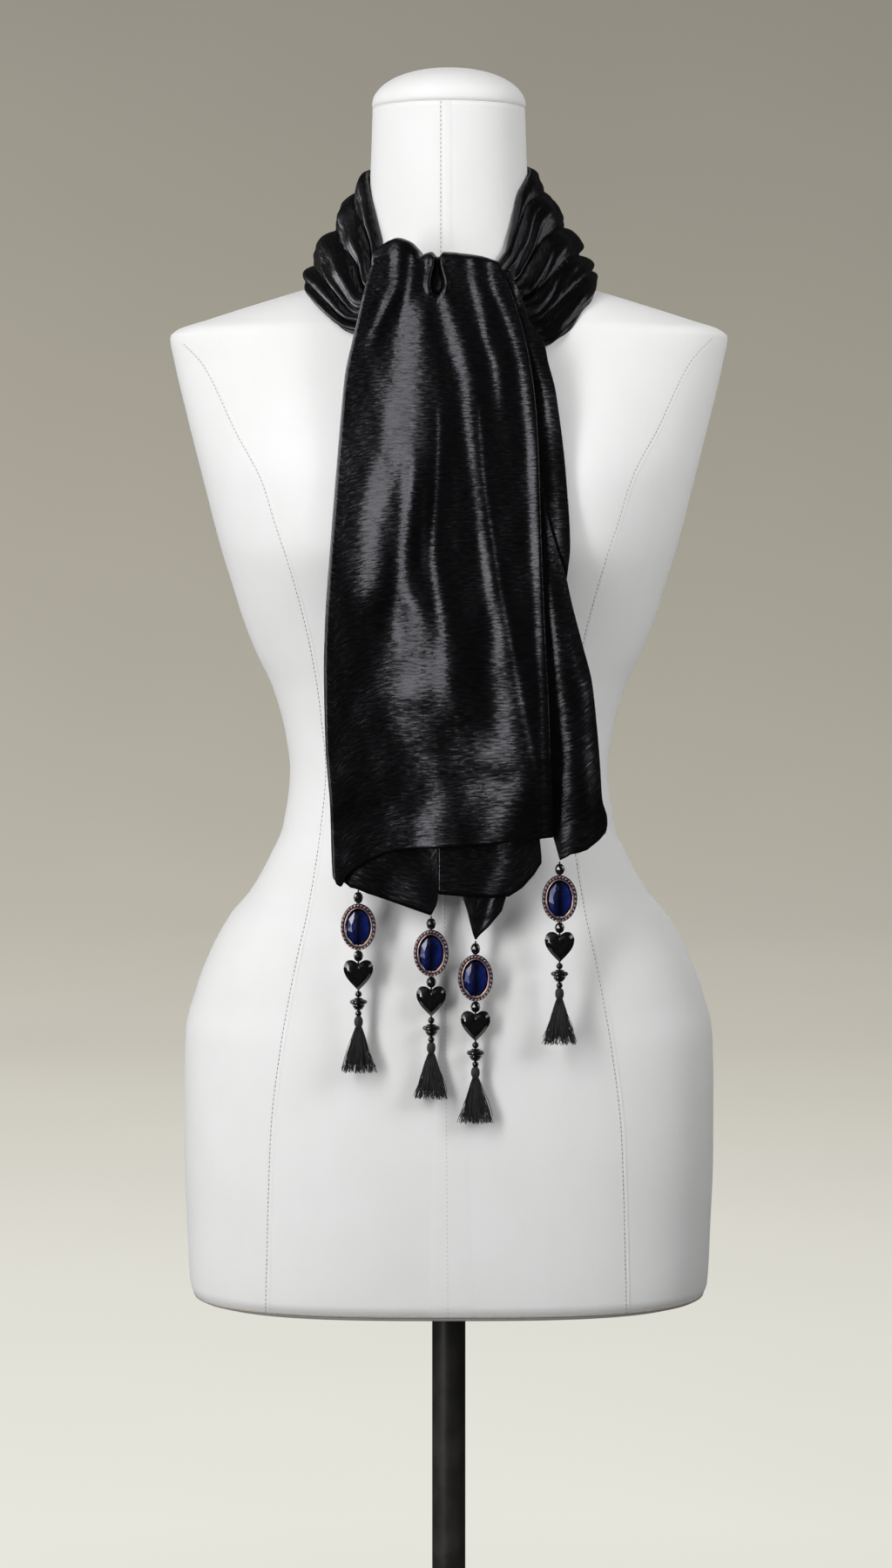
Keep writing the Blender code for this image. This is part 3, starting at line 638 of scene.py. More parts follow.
@dataclass(frozen=True)
class Stone:
    """Clear deep blue glass over a dark thread hole: UV x is 0 at the hole and 1 at the sides, which are painted
    lighter as a painted glow of light through the glass.
    """

    hole: tuple = (0.0008, 0.001, 0.008)
    deep: tuple = (0.0012, 0.0025, 0.025)
    # painted glow: the sides are painted lighter, standing for light passing through the glass
    painted_side_glow: tuple = (0.006, 0.018, 0.15)
    cloud: tuple = (0.45, 0.45, 0.5)

    def make(self) -> Finish:
        """Builds the finish."""
        paint = Paint("blue_glass")
        across = paint.math("ABSOLUTE", paint.axes(Space.UV)[0])
        clouds = paint.noise(Space.OBJECT, (160, 160, 110))
        # the dark middle is the thread seen through the glass; the lighter sides are a painted glow of light through it
        body = paint.ramp(across, (0.03, self.hole), (0.14, self.deep), (0.75, self.painted_side_glow))
        paint.surface(
            Base_Color=paint.tinted(body, paint.ramp(clouds, (0.3, self.cloud), (0.7, 1.0))),
            Roughness=paint.ramp(clouds, (0.3, 0.16), (0.7, 0.26)),
            IOR=1.52,
            Coat_Weight=0.15,
            Coat_Roughness=0.12,
        )
        return Finish(paint.material, Slot.SAPPHIRE)


# Light colour, dark colour, and lowest and highest roughness
STITCH_LOOK = ((0.42, 0.38, 0.33), (0.30, 0.27, 0.23), (0.7, 0.9))
STEEL_LOOK = ((0.028, 0.026, 0.024), (0.018, 0.017, 0.016), (0.34, 0.46))
JET_LOOK = ((0.006, 0.006, 0.007), (0.003, 0.003, 0.003), (0.06, 0.14))
GOLD_LOOK = ((0.85, 0.60, 0.42), (0.62, 0.38, 0.24), (0.30, 0.45))
ENAMEL_LOOK = ((0.022, 0.018, 0.085), (0.008, 0.007, 0.022), (0.25, 0.42))

# ---------------------------------------------------------------- pieces


def add_piece(name: str, shape: tuple, finish: Finish, body: str, nodes: tuple = ()) -> bpy.types.Object:
    """Links a mesh to the scene and says where it belongs.

    Args:
        name: The piece's name.
        shape: Its points, in metres, and the corner numbers of its faces.
        finish: Its finish.
        body: The body that it rides.
        nodes: The nodes that it stands for.

    Returns:
        The new object, smooth shaded.
    """
    mesh = bpy.data.meshes.new(name)
    points, faces = shape
    mesh.from_pydata(points.reshape(-1, 3).tolist(), [], np.asarray(faces, object).tolist())
    mesh.materials.append(finish.material)
    mesh.shade_smooth()
    piece = bpy.data.objects.new(name, mesh)
    bpy.context.scene.collection.objects.link(piece)
    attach(piece, body)
    if nodes:
        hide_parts(*nodes)
    log.info("%s: %d faces", name, len(mesh.polygons))
    return piece


def add_uv(piece: bpy.types.Object, coordinates: Array) -> None:
    """Gives a piece a UV map.

    Args:
        piece: The piece.
        coordinates: A pair for each of its points.
    """
    mesh = piece.data
    corners = np.empty(len(mesh.loops), np.int32)
    mesh.loops.foreach_get("vertex_index", corners)
    layer = mesh.uv_layers.new(name="surface")
    layer.data.foreach_set("uv", coordinates.reshape(-1, 2)[corners].astype(np.float32).ravel())


def refinish(node: str, finish: Finish) -> None:
    """Gives a node of the model that is kept its procedural material.

    Args:
        node: The node.
        finish: Its finish.
    """
    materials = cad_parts[node].data.materials
    materials.clear()
    materials.append(finish.material)


def lathe(profile: Array, segments: int, centre: tuple = (0, 0, 0), flatten: float = 1.0) -> tuple:
    """A body turned about Z.

    Args:
        profile: (radius, height) pairs from the lowest up, in metres.
        segments: Steps round it.
        centre: Where its axis and zero height are.
        flatten: Its depth as a share of its width.

    Returns:
        Points and faces, with both ends closed.
    """
    angle = turns(segments)
    radius, height = np.asarray(profile, float).T[:, :, None]
    x, y = radius * np.cos(angle), radius * np.sin(angle) * flatten
    points = np.stack([x, y, np.broadcast_to(height, x.shape)], axis=-1) + np.asarray(centre)
    return points, capped(len(profile), segments)


def hoop(loop: Array, outward: Array, upward: tuple, section: tuple) -> tuple:
    """A cord laid along a closed loop.

    Args:
        loop: Points of the loop.
        outward: For each, the unit direction away from the loop's middle.
        upward: The unit direction square to the loop.
        section: Outward and upward distances of the cord's surface from the loop, in metres.

    Returns:
        Points and faces.
    """
    out, up = section
    grid = loop[:, None] + outward[:, None] * out[:, None] + np.asarray(upward) * up[:, None]
    grid = np.concatenate([grid, grid[:1]])
    return grid, quads(*grid.shape[:2], closed=True)


def gem(rings: list) -> tuple:
    """A cut body through rings of equal counts: each ring's corners face the gaps of the next.

    Args:
        rings: Arrays of points, from the rear or the bottom, each turned half a step from the one before.

    Returns:
        Points and faces: triangles between rings, and a polygon at each end.
    """
    count = len(rings[0])
    here = np.arange(count)
    after = (here + 1) % count
    faces = []
    for level in range(len(rings) - 1):
        low, high = level * count, (level + 1) * count
        facing, beside = (here, after) if level % 2 == 0 else (after, (here + 2) % count)
        faces += np.stack([low + here, low + after, high + facing], axis=1).tolist()
        faces += np.stack([low + after, high + beside, high + facing], axis=1).tolist()
    faces += [here[::-1].tolist(), (here + (len(rings) - 1) * count).tolist()]
    return np.concatenate(rings), faces


def grains(centres: Array, axes: Array, sizes: tuple) -> tuple:
    """Many small eight-sided grains, such as stitches and leaves.

    Args:
        centres: Their middles, one row each.
        axes: For each, three unit rows: along, across and up.
        sizes: Half sizes along, across and up, in metres.

    Returns:
        Points and faces of all of them.
    """
    waist = 0.55
    shape = [(-1, 0, 0), (1, 0, 0)]
    shape += [(side * waist, cos(a), sin(a)) for side in (-1, 1) for a in turns(4)]
    shape = np.asarray(shape, float) * np.asarray(sizes)
    points = centres[:, None, :] + np.einsum("pk,nkc->npc", shape, axes)
    faces = []
    for side in range(4):
        beside = (side + 1) % 4
        faces += [(0, 2 + beside, 2 + side), (1, 6 + side, 6 + beside)]
        faces += [(2 + side, 2 + beside, 6 + beside), (2 + side, 6 + beside, 6 + side)]
    offsets = len(shape) * np.arange(len(centres))[:, None, None]
    return points, (np.asarray(faces)[None] + offsets).reshape(-1, 3)


# ---------------------------------------------------------------- the dress form


@dataclass(frozen=True)
class DressForm:
    """The padded form, its seams, its domed cap and its stand."""

    jersey: Finish
    stitch: Finish
    steel: Finish
    segments: int = 240
    bust_height: float = 1.252
    bust_apart: float = 0.086
    bust_rise: float = 0.019
    bust_spread: tuple = (0.042, 0.058, 0.036)  # across, up and down
    low: float = 0.714
    neck_top: float = 1.552
    cap_top: float = 1.580
    cap_radius: float = 0.0541
    panel_top: float = 1.388
    side_top: float = 1.430
    seam: tuple = (0.0032, 0.0004)  # width and rise
    strip: tuple = (0.0076, 0.0005)
    stitch_size: tuple = (0.00105, 0.00028, 0.00032)  # half sizes along, across and up
    stitch_pitch: float = 0.0031
    beside_seam: float = 0.0022
    beside_strip: float = 0.0046
    cord: float = 0.0011

    def add(self, name: str, shape: tuple, finish: Finish, *nodes: str) -> bpy.types.Object:
        """Makes a piece of the form."""
        return add_piece(name, shape, finish, "form", nodes)

    def point(self, angle: Array, height: Array) -> Array:
        """A point of the form: a squared oval with the bust added to its front half.

        Args:
            angle: Round the form, in radians, with the front at minus a quarter turn.
            height: In metres.

        Returns:
            Points, in metres.
        """
        side, depth = np.cos(angle), np.sin(angle)
        half, front, back = (column(FORM_SECTIONS, i, height) for i in (1, 2, 3))
        power = 2 / read(FORM_SECTIONS, 4, height / MM)
        x = half * np.sign(side) * np.abs(side) ** power
        y = np.where(depth < 0, front, back) * np.sign(depth) * np.abs(depth) ** power
        across, up, down = self.bust_spread
        spread = np.where(height > self.bust_height, up, down)
        bust = np.exp(-0.5 * ((np.abs(x) - self.bust_apart) / across) ** 2)
        bust = bust * np.exp(-0.5 * ((height - self.bust_height) / spread) ** 2)
        y = y - self.bust_rise * bust * np.clip(-2 * depth, 0, 1)
        return np.stack([x, y, np.broadcast_to(height, x.shape)], axis=-1)

    def angle_at(self, x: Array, height: Array, front: bool = True) -> Array:
        """The angle of a point of the surface, by undoing the squared oval.

        Args:
            x: Distance from the middle line.
            height: In metres.
            front: Whether it is on the front.

        Returns:
            Angles in radians.
        """
        half = column(FORM_SECTIONS, 1, height)
        power = read(FORM_SECTIONS, 4, height / MM) / 2
        side = np.sign(x) * (np.abs(x) / half).clip(0, 1) ** power
        return np.arccos(side.clip(-1, 1)) * (-1 if front else 1)

    def torso(self) -> None:
        """The body with its neck, its rings close where its outline turns, closed by a slightly hollow board."""
        spans = ((0.710, 0.724, 12), (0.724, 1.385, 170), (1.385, 1.450, 90))
        heights = [np.linspace(*span, endpoint=False) for span in spans]
        heights = np.concatenate([*heights, np.linspace(1.450, self.neck_top, 30)])[:, None]
        rings = self.point(turns(self.segments), heights)
        shrink = np.linspace(0.05, 0.98, 8)[:, None, None]
        board = rings[0] * shrink
        board[:, :, 2] = heights[0] + 0.0004 * (1 - shrink[:, :, 0])
        points = np.concatenate([board, rings])
        self.add("torso_jersey", (points, capped(len(points), self.segments)), self.jersey, "torso")

    def cap(self) -> None:
        """The dome on the neck: an ellipse of revolution on a short rounded edge."""
        base, edge = self.neck_top + 0.0003, 0.0022
        rise = self.cap_top - base - edge
        turn = np.linspace(0, pi / 2 * 0.985, 40)
        dome = np.column_stack([self.cap_radius * np.cos(turn) ** 0.92, base + edge + rise * np.sin(turn)])
        lip = np.array([(self.cap_radius - 0.0012, base), (self.cap_radius - 0.0003, base + 0.0006)])
        self.add("cap_jersey", lathe(np.concatenate([lip, dome]), 160), self.jersey, "neck_cap")

    def path_frames(self, angle: Array, height: Array) -> tuple:
        """The frame of a path on the form: the outward direction is square to the path and the surface.

        Args:
            angle: Round the form, for each point of the path.
            height: For each point.

        Returns:
            Points, and unit directions along, across and outward.
        """
        points = self.point(angle, height)
        along = unit(np.gradient(points, axis=0))
        aside = self.point(angle + 0.01, height) - self.point(angle - 0.01, height)
        outward = unit(np.cross(aside, along))
        outward *= np.sign((outward * (points * LEVEL)).sum(axis=1, keepdims=True))
        return points, along, np.cross(outward, along), outward

    def welt(self, name: str, angle: Array, height: Array, size: tuple) -> None:
        """A low ridge along a path: its section is an arch by the fourth power of the place across.

        Args:
            name: The piece's name.
            angle: Round the form, for each point of the path.
            height: For each point.
            size: Its width and rise.
        """
        width, rise = size
        share = np.linspace(-1, 1, 9)
        points, _, across, _ = self.path_frames(angle, height)
        radius = np.linalg.norm(points[:, :2], axis=1)
        turned = angle[:, None] + share * (width / 2) / radius[:, None] * np.sign((across[:, :1] + 1e-9))
        base = self.point(turned, np.broadcast_to(height[:, None], turned.shape))
        arch = rise * (1 - share**4) - 0.0002
        grid = base + unit(base * LEVEL) * arch[:, None]
        self.add(name, (grid, quads(*grid.shape[:2])), self.jersey)

    def stitches(self, name: str, angle: Array, height: Array, shift: float = 0.0) -> None:
        """A row of stitches beside a path, at even spacing along it.

        Args:
            name: The piece's name.
            angle: Round the form, for each point of the path.
            height: For each point.
            shift: How far beside the path.
        """
        stand = 0.00012
        frames = self.path_frames(angle, height)
        length = np.concatenate([[0], np.cumsum(np.linalg.norm(np.diff(frames[0], axis=0), axis=1))])
        at = np.arange(0.002, length[-1], self.stitch_pitch)
        centres, *axes = (np.stack([np.interp(at, length, row) for row in part.T], axis=1) for part in frames)
        centres = centres + axes[1] * shift + axes[2] * stand
        self.add(name, grains(centres, np.stack(axes, axis=1), self.stitch_size), self.stitch)

    def seams(self) -> None:
        """Panel seams front and back, side seams, the front strip, the seam under the cap and the bottom cord."""
        tall = np.linspace(self.low, self.panel_top, 260)
        across = column(PANEL_SEAM, 1, tall)
        for side, word in ((-1, "left"), (1, "right")):
            for front, where in ((True, "front"), (False, "back")):
                angle = self.angle_at(side * across, tall, front)
                self.welt(f"{where}_{word}_seam", angle, tall, self.seam)
                self.stitches(f"{where}_{word}_stitches", angle, tall, self.beside_seam)
        tall = np.linspace(self.low, self.side_top, 200)
        for side, word in ((pi, "left"), (0.0, "right")):
            self.welt(f"side_{word}_seam", np.full(200, side), tall, self.seam)
        tall = np.linspace(self.low - 0.0005, self.neck_top - 0.0005, 260)
        middle = column(FRONT_STRIP, 1, tall)
        self.welt("front_strip", self.angle_at(middle, tall), tall, self.strip)
        self.stitches("front_strip_stitches", self.angle_at(middle - self.beside_strip, tall), tall)
        self.welt("back_seam", np.full(260, pi / 2), tall, self.seam)
        self.stitches("cap_stitches", np.linspace(0, tau, 120), np.full(120, self.neck_top - 0.0016))
        sunk = 0.0004
        outline = self.point(turns(300), np.full(300, self.low + 0.0005))
        outward = unit(outline * LEVEL)
        section = self.cord * np.cos(turns(8)), self.cord * np.sin(turns(8))
        self.add("bottom_cord", hoop(outline - outward * sunk, outward, (0, 0, 1), section), self.stitch)

    def stand(self) -> None:
        """The pole and the base turned smooth, and the finish of the collar."""
        low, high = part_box("pole")
        radius, edge = (high[0] - low[0]) / 2, 0.0006
        profile = [(radius - edge, low[2]), (radius, low[2] + edge), (radius, high[2] - edge), (radius - edge, high[2])]
        pole = self.add("steel_pole", lathe(profile, 96), self.steel, "pole")
        pole.data.set_sharp_from_angle(angle=radians(30))
        low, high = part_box("base_plate")
        radius, top, roll = high[0], high[2], 0.0025
        turn = np.linspace(0, pi / 2, 8)
        rounded = np.column_stack([radius - roll + roll * np.cos(turn), top - roll + roll * np.sin(turn)])
        foot = np.array([(radius - 0.001, low[2]), (radius, low[2] + 0.001)])
        inner = np.array([(radius * 0.5, top + 0.0001), (0.02, top + 0.0002)])
        self.add("steel_base", lathe(np.concatenate([foot, rounded, inner]), 192), self.steel, "base_plate")
        refinish("pole_collar", self.steel)

    def build(self) -> None:
        """Everything that carries the scarf."""
        self.torso()
        self.cap()
        self.seams()
        self.stand()


# ---------------------------------------------------------------- the scarf


@dataclass(frozen=True)
class Scarf:
    """The band round the neck and the stretches that hang from it."""

    velvet: Finish
    wall: float = 0.0016
    edge_roll: float = 0.003
    fall_top: float = 1.436
    fall_start: float = 1.428

    def cloth(
        self, name: str, grid: Array, nodes: tuple, held: Held = Held.HUNG
    ) -> None:
        """Makes a stretch of cloth.

        Args:
            name: The piece's name.
            grid: Its points; they close round the columns where it is gathered.
            nodes: The nodes that it stands for.
            held: How it is held.
        """
        faces = quads(*grid.shape[:2], closed=held is Held.GATHERED)
        piece = add_piece(name, (grid, faces[:, ::-1]), self.velvet, "form", nodes)
        add_uv(piece, arc_lengths(grid))
        wall = piece.modifiers.new("Wall", "SOLIDIFY")
        wall.thickness = self.wall
        wall.offset = 0.0

    @staticmethod
    def neck_radius(angle: Array, height: Array) -> Array:
        """Distance from the neck's axis to the form: a level section there is an oval of two halves.

        Args:
            angle: From the front.
            height: In metres.

        Returns:
            Radius in metres.
        """
        half, front, back = (column(FORM_SECTIONS, i, height) for i in (1, 2, 3))
        along = np.cos(angle) / np.where(np.cos(angle) > 0, front, back)
        return 1 / np.hypot(np.sin(angle) / half, along)

    @staticmethod
    def ring_points(angle: Array, radius: Array, height: Array) -> Array:
        """Points round the neck's axis."""
        x, y = radius * np.sin(angle), -radius * np.cos(angle)
        return np.stack([x, y, np.broadcast_to(height, x.shape)], axis=-1)

    def neck_wrap(self) -> None:
        """The rolled band: a ring swept round the neck.

        Down its height the section swells from the neck, and between creases it bulges by a power of a
        half sine, so that neighbouring rolls meet in sharp valleys.  The first rows turn over the top edge
        and the last rows turn in underneath.
        """
        columns, rows, girth = 320, 88, 0.1
        degrees = -180 + 360 * np.arange(columns) / columns
        angle = np.radians(degrees)[None, :]
        top, stand, bottom, spread = (read(WRAP_SECTIONS, i, degrees) * MM for i in (1, 2, 3, 4))
        creases = [read(WRAP_CREASES, i, degrees) for i in (1, 2, 3, 4)]
        bounds = [np.zeros(columns), *creases, np.ones(columns)]
        down = np.linspace(0, 1, rows)[:, None]
        wander = 0.018 * ripple(3, angle * girth, down * 0.05, (0.09, 0.04))
        share = (down + wander * np.sin(pi * down)).clip(0, 1)
        height = top + (bottom - top) * down
        start = self.neck_radius(angle, top) + stand
        fullness = 1.1 - 0.45 * np.exp(-((degrees / 24) ** 2))
        radius = start + (spread - start) * down**fullness
        for level, (rise, lean) in enumerate(WRAP_ROLLS):
            across = ((share - bounds[level]) / (bounds[level + 1] - bounds[level])).clip(0, 1)
            bulge = rise * MM * np.sin(pi * across**0.68) ** 0.85
            radius = radius + bulge * (1 + 0.25 * ripple(level + 11, angle * girth, down * 0.02, (0.05, 0.05)))
            height = height - lean * bulge * across
        radius = radius + 0.0008 * ripple(5, angle * girth, down * 0.08, (0.12, 0.012), 14)
        lift, under_lift = 0.0028, 0.002
        radius = np.maximum(radius, self.neck_radius(angle, height) + lift)
        over_in, over_down, turn_in, turn_down = 0.0016, 0.004, 0.014, 0.0035
        turn = np.linspace(0.15, 1, 7)[:, None]
        inset = radius[-1] - turn_in * np.sin(turn * pi / 2)
        inset = np.maximum(inset, self.neck_radius(angle, height[-1]) + under_lift)
        fold = np.linspace(1, 0.2, 5)[:, None]
        rings = (
            (radius[0] - over_in * fold, height[0] - over_down * fold**2),
            (radius, height),
            (inset, height[-1] - turn_down * np.sin(turn * pi) + MM * turn),
        )
        grid = np.concatenate([self.ring_points(angle, *ring) for ring in rings])
        nodes = ("wrap_left", "wrap_back", "wrap_right", "crossing")
        self.cloth("neck_wrap", grid, nodes, Held.GATHERED)

    def tuck(self, x: Array, height: Array) -> Array:
        """The drop-shaped hollow under the crest, with a raised lip round it.

        Its half width grows from a slit at the top and closes in a circle at the bottom.

        Args:
            x: Places across, in metres.
            height: In metres.

        Returns:
            How far the cloth stands forward, in metres.
        """
        middle, widest, slit_top, low = -0.0080, 1.4235, 1.4415, 1.4145
        half, slit, drop = 0.0046, 0.0011, 0.0085
        above = slit + (half - slit) * ((slit_top - height) / (slit_top - widest)).clip(0, 1)
        below = half * np.sqrt((1 - ((widest - height) / drop) ** 2).clip(1e-4, 1))
        away = np.abs(x - middle) / np.where(height > widest, above, below)
        within = 1 / (1 + np.exp(((away - 1) * 9).clip(-60, 60)))
        lip = np.exp(-(((away - 1.45) / 0.4) ** 2)) * (away < 4)
        fade = 1 / (1 + np.exp((-(height - low) / 0.0012).clip(-60, 60)))
        return (-0.0085 * within + 0.0014 * lip) * fade

    @staticmethod
    def roll_edges(left: Array, right: Array, share: Array, roll: float) -> tuple:
        """Widens a sheet by rounded edges that turn behind it.

        Args:
            left: The left edge of each row.
            right: The right edge of each row.
            share: Shares across the front.
            roll: Radius of the turned edges.

        Returns:
            Places across, and distances behind the front.
        """
        turn = np.linspace(pi, 0, 9)[:-1]
        inset = np.concatenate([[0.018, 0.011, 0.004], -roll * np.sin(turn)])
        behind = np.concatenate([np.full(3, 2 * roll), roll - roll * np.cos(turn)])
        front = left + roll + (right - left - 2 * roll) * share
        x = np.concatenate([left + roll + inset, front, right - roll - inset[::-1]], axis=1)
        return x, np.concatenate([behind, np.zeros(len(share)), behind[::-1]])

    def front_fall(self) -> None:
        """The end that falls in front: tucked behind, over the crest, and down in folds to its hem."""
        columns, rows, steps = 150, 236, 30
        first, last = FALL_HEM[0][0], FALL_HEM[-1][0]
        share = np.linspace(0, 1, columns)
        down = np.linspace(0, 1, rows)[:, None]
        hem = read(FALL_HEM, 1, first + share * (last - first)) * MM
        mean = self.fall_top + (hem.mean() - self.fall_top) * down
        left, right = (column(FALL_SECTIONS, i, mean) for i in (1, 2))
        roll = np.clip(0.25 + down * 6, 0, 1)
        x, behind = self.roll_edges(left, right, share, self.edge_roll * roll[0, 0])
        wide = ((x - left) / (right - left)).clip(0, 1)
        hem = read(FALL_HEM, 1, first + wide * (last - first)) * MM
        height = self.fall_top + (hem - self.fall_top) * down
        depth = column(FALL_SECTIONS, 3, height)
        wall_gap, deep_sink, deep_below = 0.0028, 0.0062, 1.26  # low down the hollows may use the room behind
        room = (depth - column(UNDER_SECTIONS, 4, height) - wall_gap).clip(FALL_SINK, deep_sink)
        relief = fold_relief(FALL_FOLDS, x, height, -np.where(height < deep_below, room, FALL_SINK))
        relief = relief + self.tuck(x, height) + 0.00022 * ripple(21, x, height, (0.03, 0.08), 12)
        front = np.stack([x, behind * roll / roll[0, 0] - depth - relief, height], axis=-1)

        # Over the crest: a steep rise through most of the depth, then a blunt turn down to the front
        near, steep, blunt = 0.78, 1.6, 0.7
        way = 2 * np.arange(steps)[:, None] / steps
        quarter = (way - 1).clip(0, 1) * pi / 2
        over_share = np.where(way < 1, near * way, near + (1 - near) * np.sin(quarter))
        over_rise = np.where(way < 1, 1 - (1 - way).clip(0, 1) ** steep, np.cos(quarter) ** blunt)
        first_angle, arc, stand = -30, 52, 0.003
        angle = np.radians(first_angle + arc * wide[0])
        start_radius = self.neck_radius(angle, np.full_like(angle, self.fall_start)) + stand
        start = self.ring_points(angle, start_radius, self.fall_start)
        over = start + (front[0] - start) * over_share[:, :, None]
        peak = column(OVERFOLD_CREST, 1, front[0, :, 0])
        over[:, :, 2] = self.fall_top + (peak - self.fall_top) * over_rise
        grid = np.concatenate([start[None], over, front])
        self.cloth("front_fall_velvet", grid, ("front_fall",))

    @staticmethod
    def panel(sections: tuple, hem: tuple, top: float, size: tuple, folds: dict, places: tuple) -> Array:
        """Grid of a hanging stretch, from its top down to its hem.

        Args:
            sections: Its edges and depth by height.
            hem: Its lower edge: place across and height.
            top: Height of its top edge.
            size: Columns and rows.
            folds: Its folds.
            places: Columns of the table for the left edge, the right edge and the depth.

        Returns:
            Points.
        """
        share = np.linspace(0, 1, size[0])
        down = np.linspace(0, 1, size[1])[:, None]
        across, hem_height = np.asarray(hem, float).T
        hem_height = np.interp(across[0] + share * (across[-1] - across[0]), across, hem_height) * MM
        height = top + (hem_height - top) * down
        left, right, depth = (column(sections, i, height) for i in places)
        x = left + (right - left) * share
        return np.stack([x, -depth - fold_relief(folds, x, height), height], axis=-1)

    def flap(self, name: str, sections: tuple, hem: tuple, top: float, size: tuple, folds: dict) -> None:
        """A part of the falling end behind its deep fold, set back from it: its table says how far.

        Args:
            name: The piece's name.
            sections: Its edges, and its distance behind the falling end, by height.
            hem: Its lower edge.
            top: Height of its top edge.
            size: Columns and rows.
            folds: Its folds.
        """
        grid = self.panel(sections, hem, top, size, folds, (1, 2, 3))
        height = grid[:, :, 2]
        grid[:, :, 1] -= column(FALL_SECTIONS, 3, height) - 2 * column(sections, 3, height)
        grid[:, :, 1] -= 0.0005 * ripple(31, grid[:, :, 0], height, (0.03, 0.08), 8)
        self.cloth(name, grid, ("side_flap",))

    def build(self) -> None:
        """Every stretch of the scarf."""
        self.neck_wrap()
        self.front_fall()
        self.flap("front_flap", FRONT_FLAP_SECTIONS, FRONT_FLAP_HEM, 1.290, (64, 150), FLAP_FOLDS)
        back_hem = ((50, 1172), (74, 1172))
        self.flap("back_flap", BACK_FLAP_SECTIONS, back_hem, 1.432, (40, 130), BACK_FLAP_FOLDS)
        under_top, size = 1.394, (80, 130)
        left = self.panel(UNDER_SECTIONS, UNDER_LEFT_HEM, under_top, size, UNDER_FOLDS, (1, 2, 4))
        left[:, :, 1] -= 0.0006 * ripple(41, left[:, :, 0], left[:, :, 2], (0.04, 0.06), 8)
        self.cloth("under_left", left, ("under_fall", "corner_turn"))
        right = self.panel(UNDER_SECTIONS, UNDER_RIGHT_HEM, under_top, size, UNDER_FOLDS, (2, 3, 4))
        right[:, :, 1] -= self.wall
        self.cloth("under_right", right, ("under_fold",))
        corner = self.panel(CORNER_SECTIONS, CORNER_HEM, 1.085, (40, 50), CORNER_FOLDS, (1, 2, 3))
        self.cloth("under_corner", corner, ("under_fold",))


# ---------------------------------------------------------------- the pendants


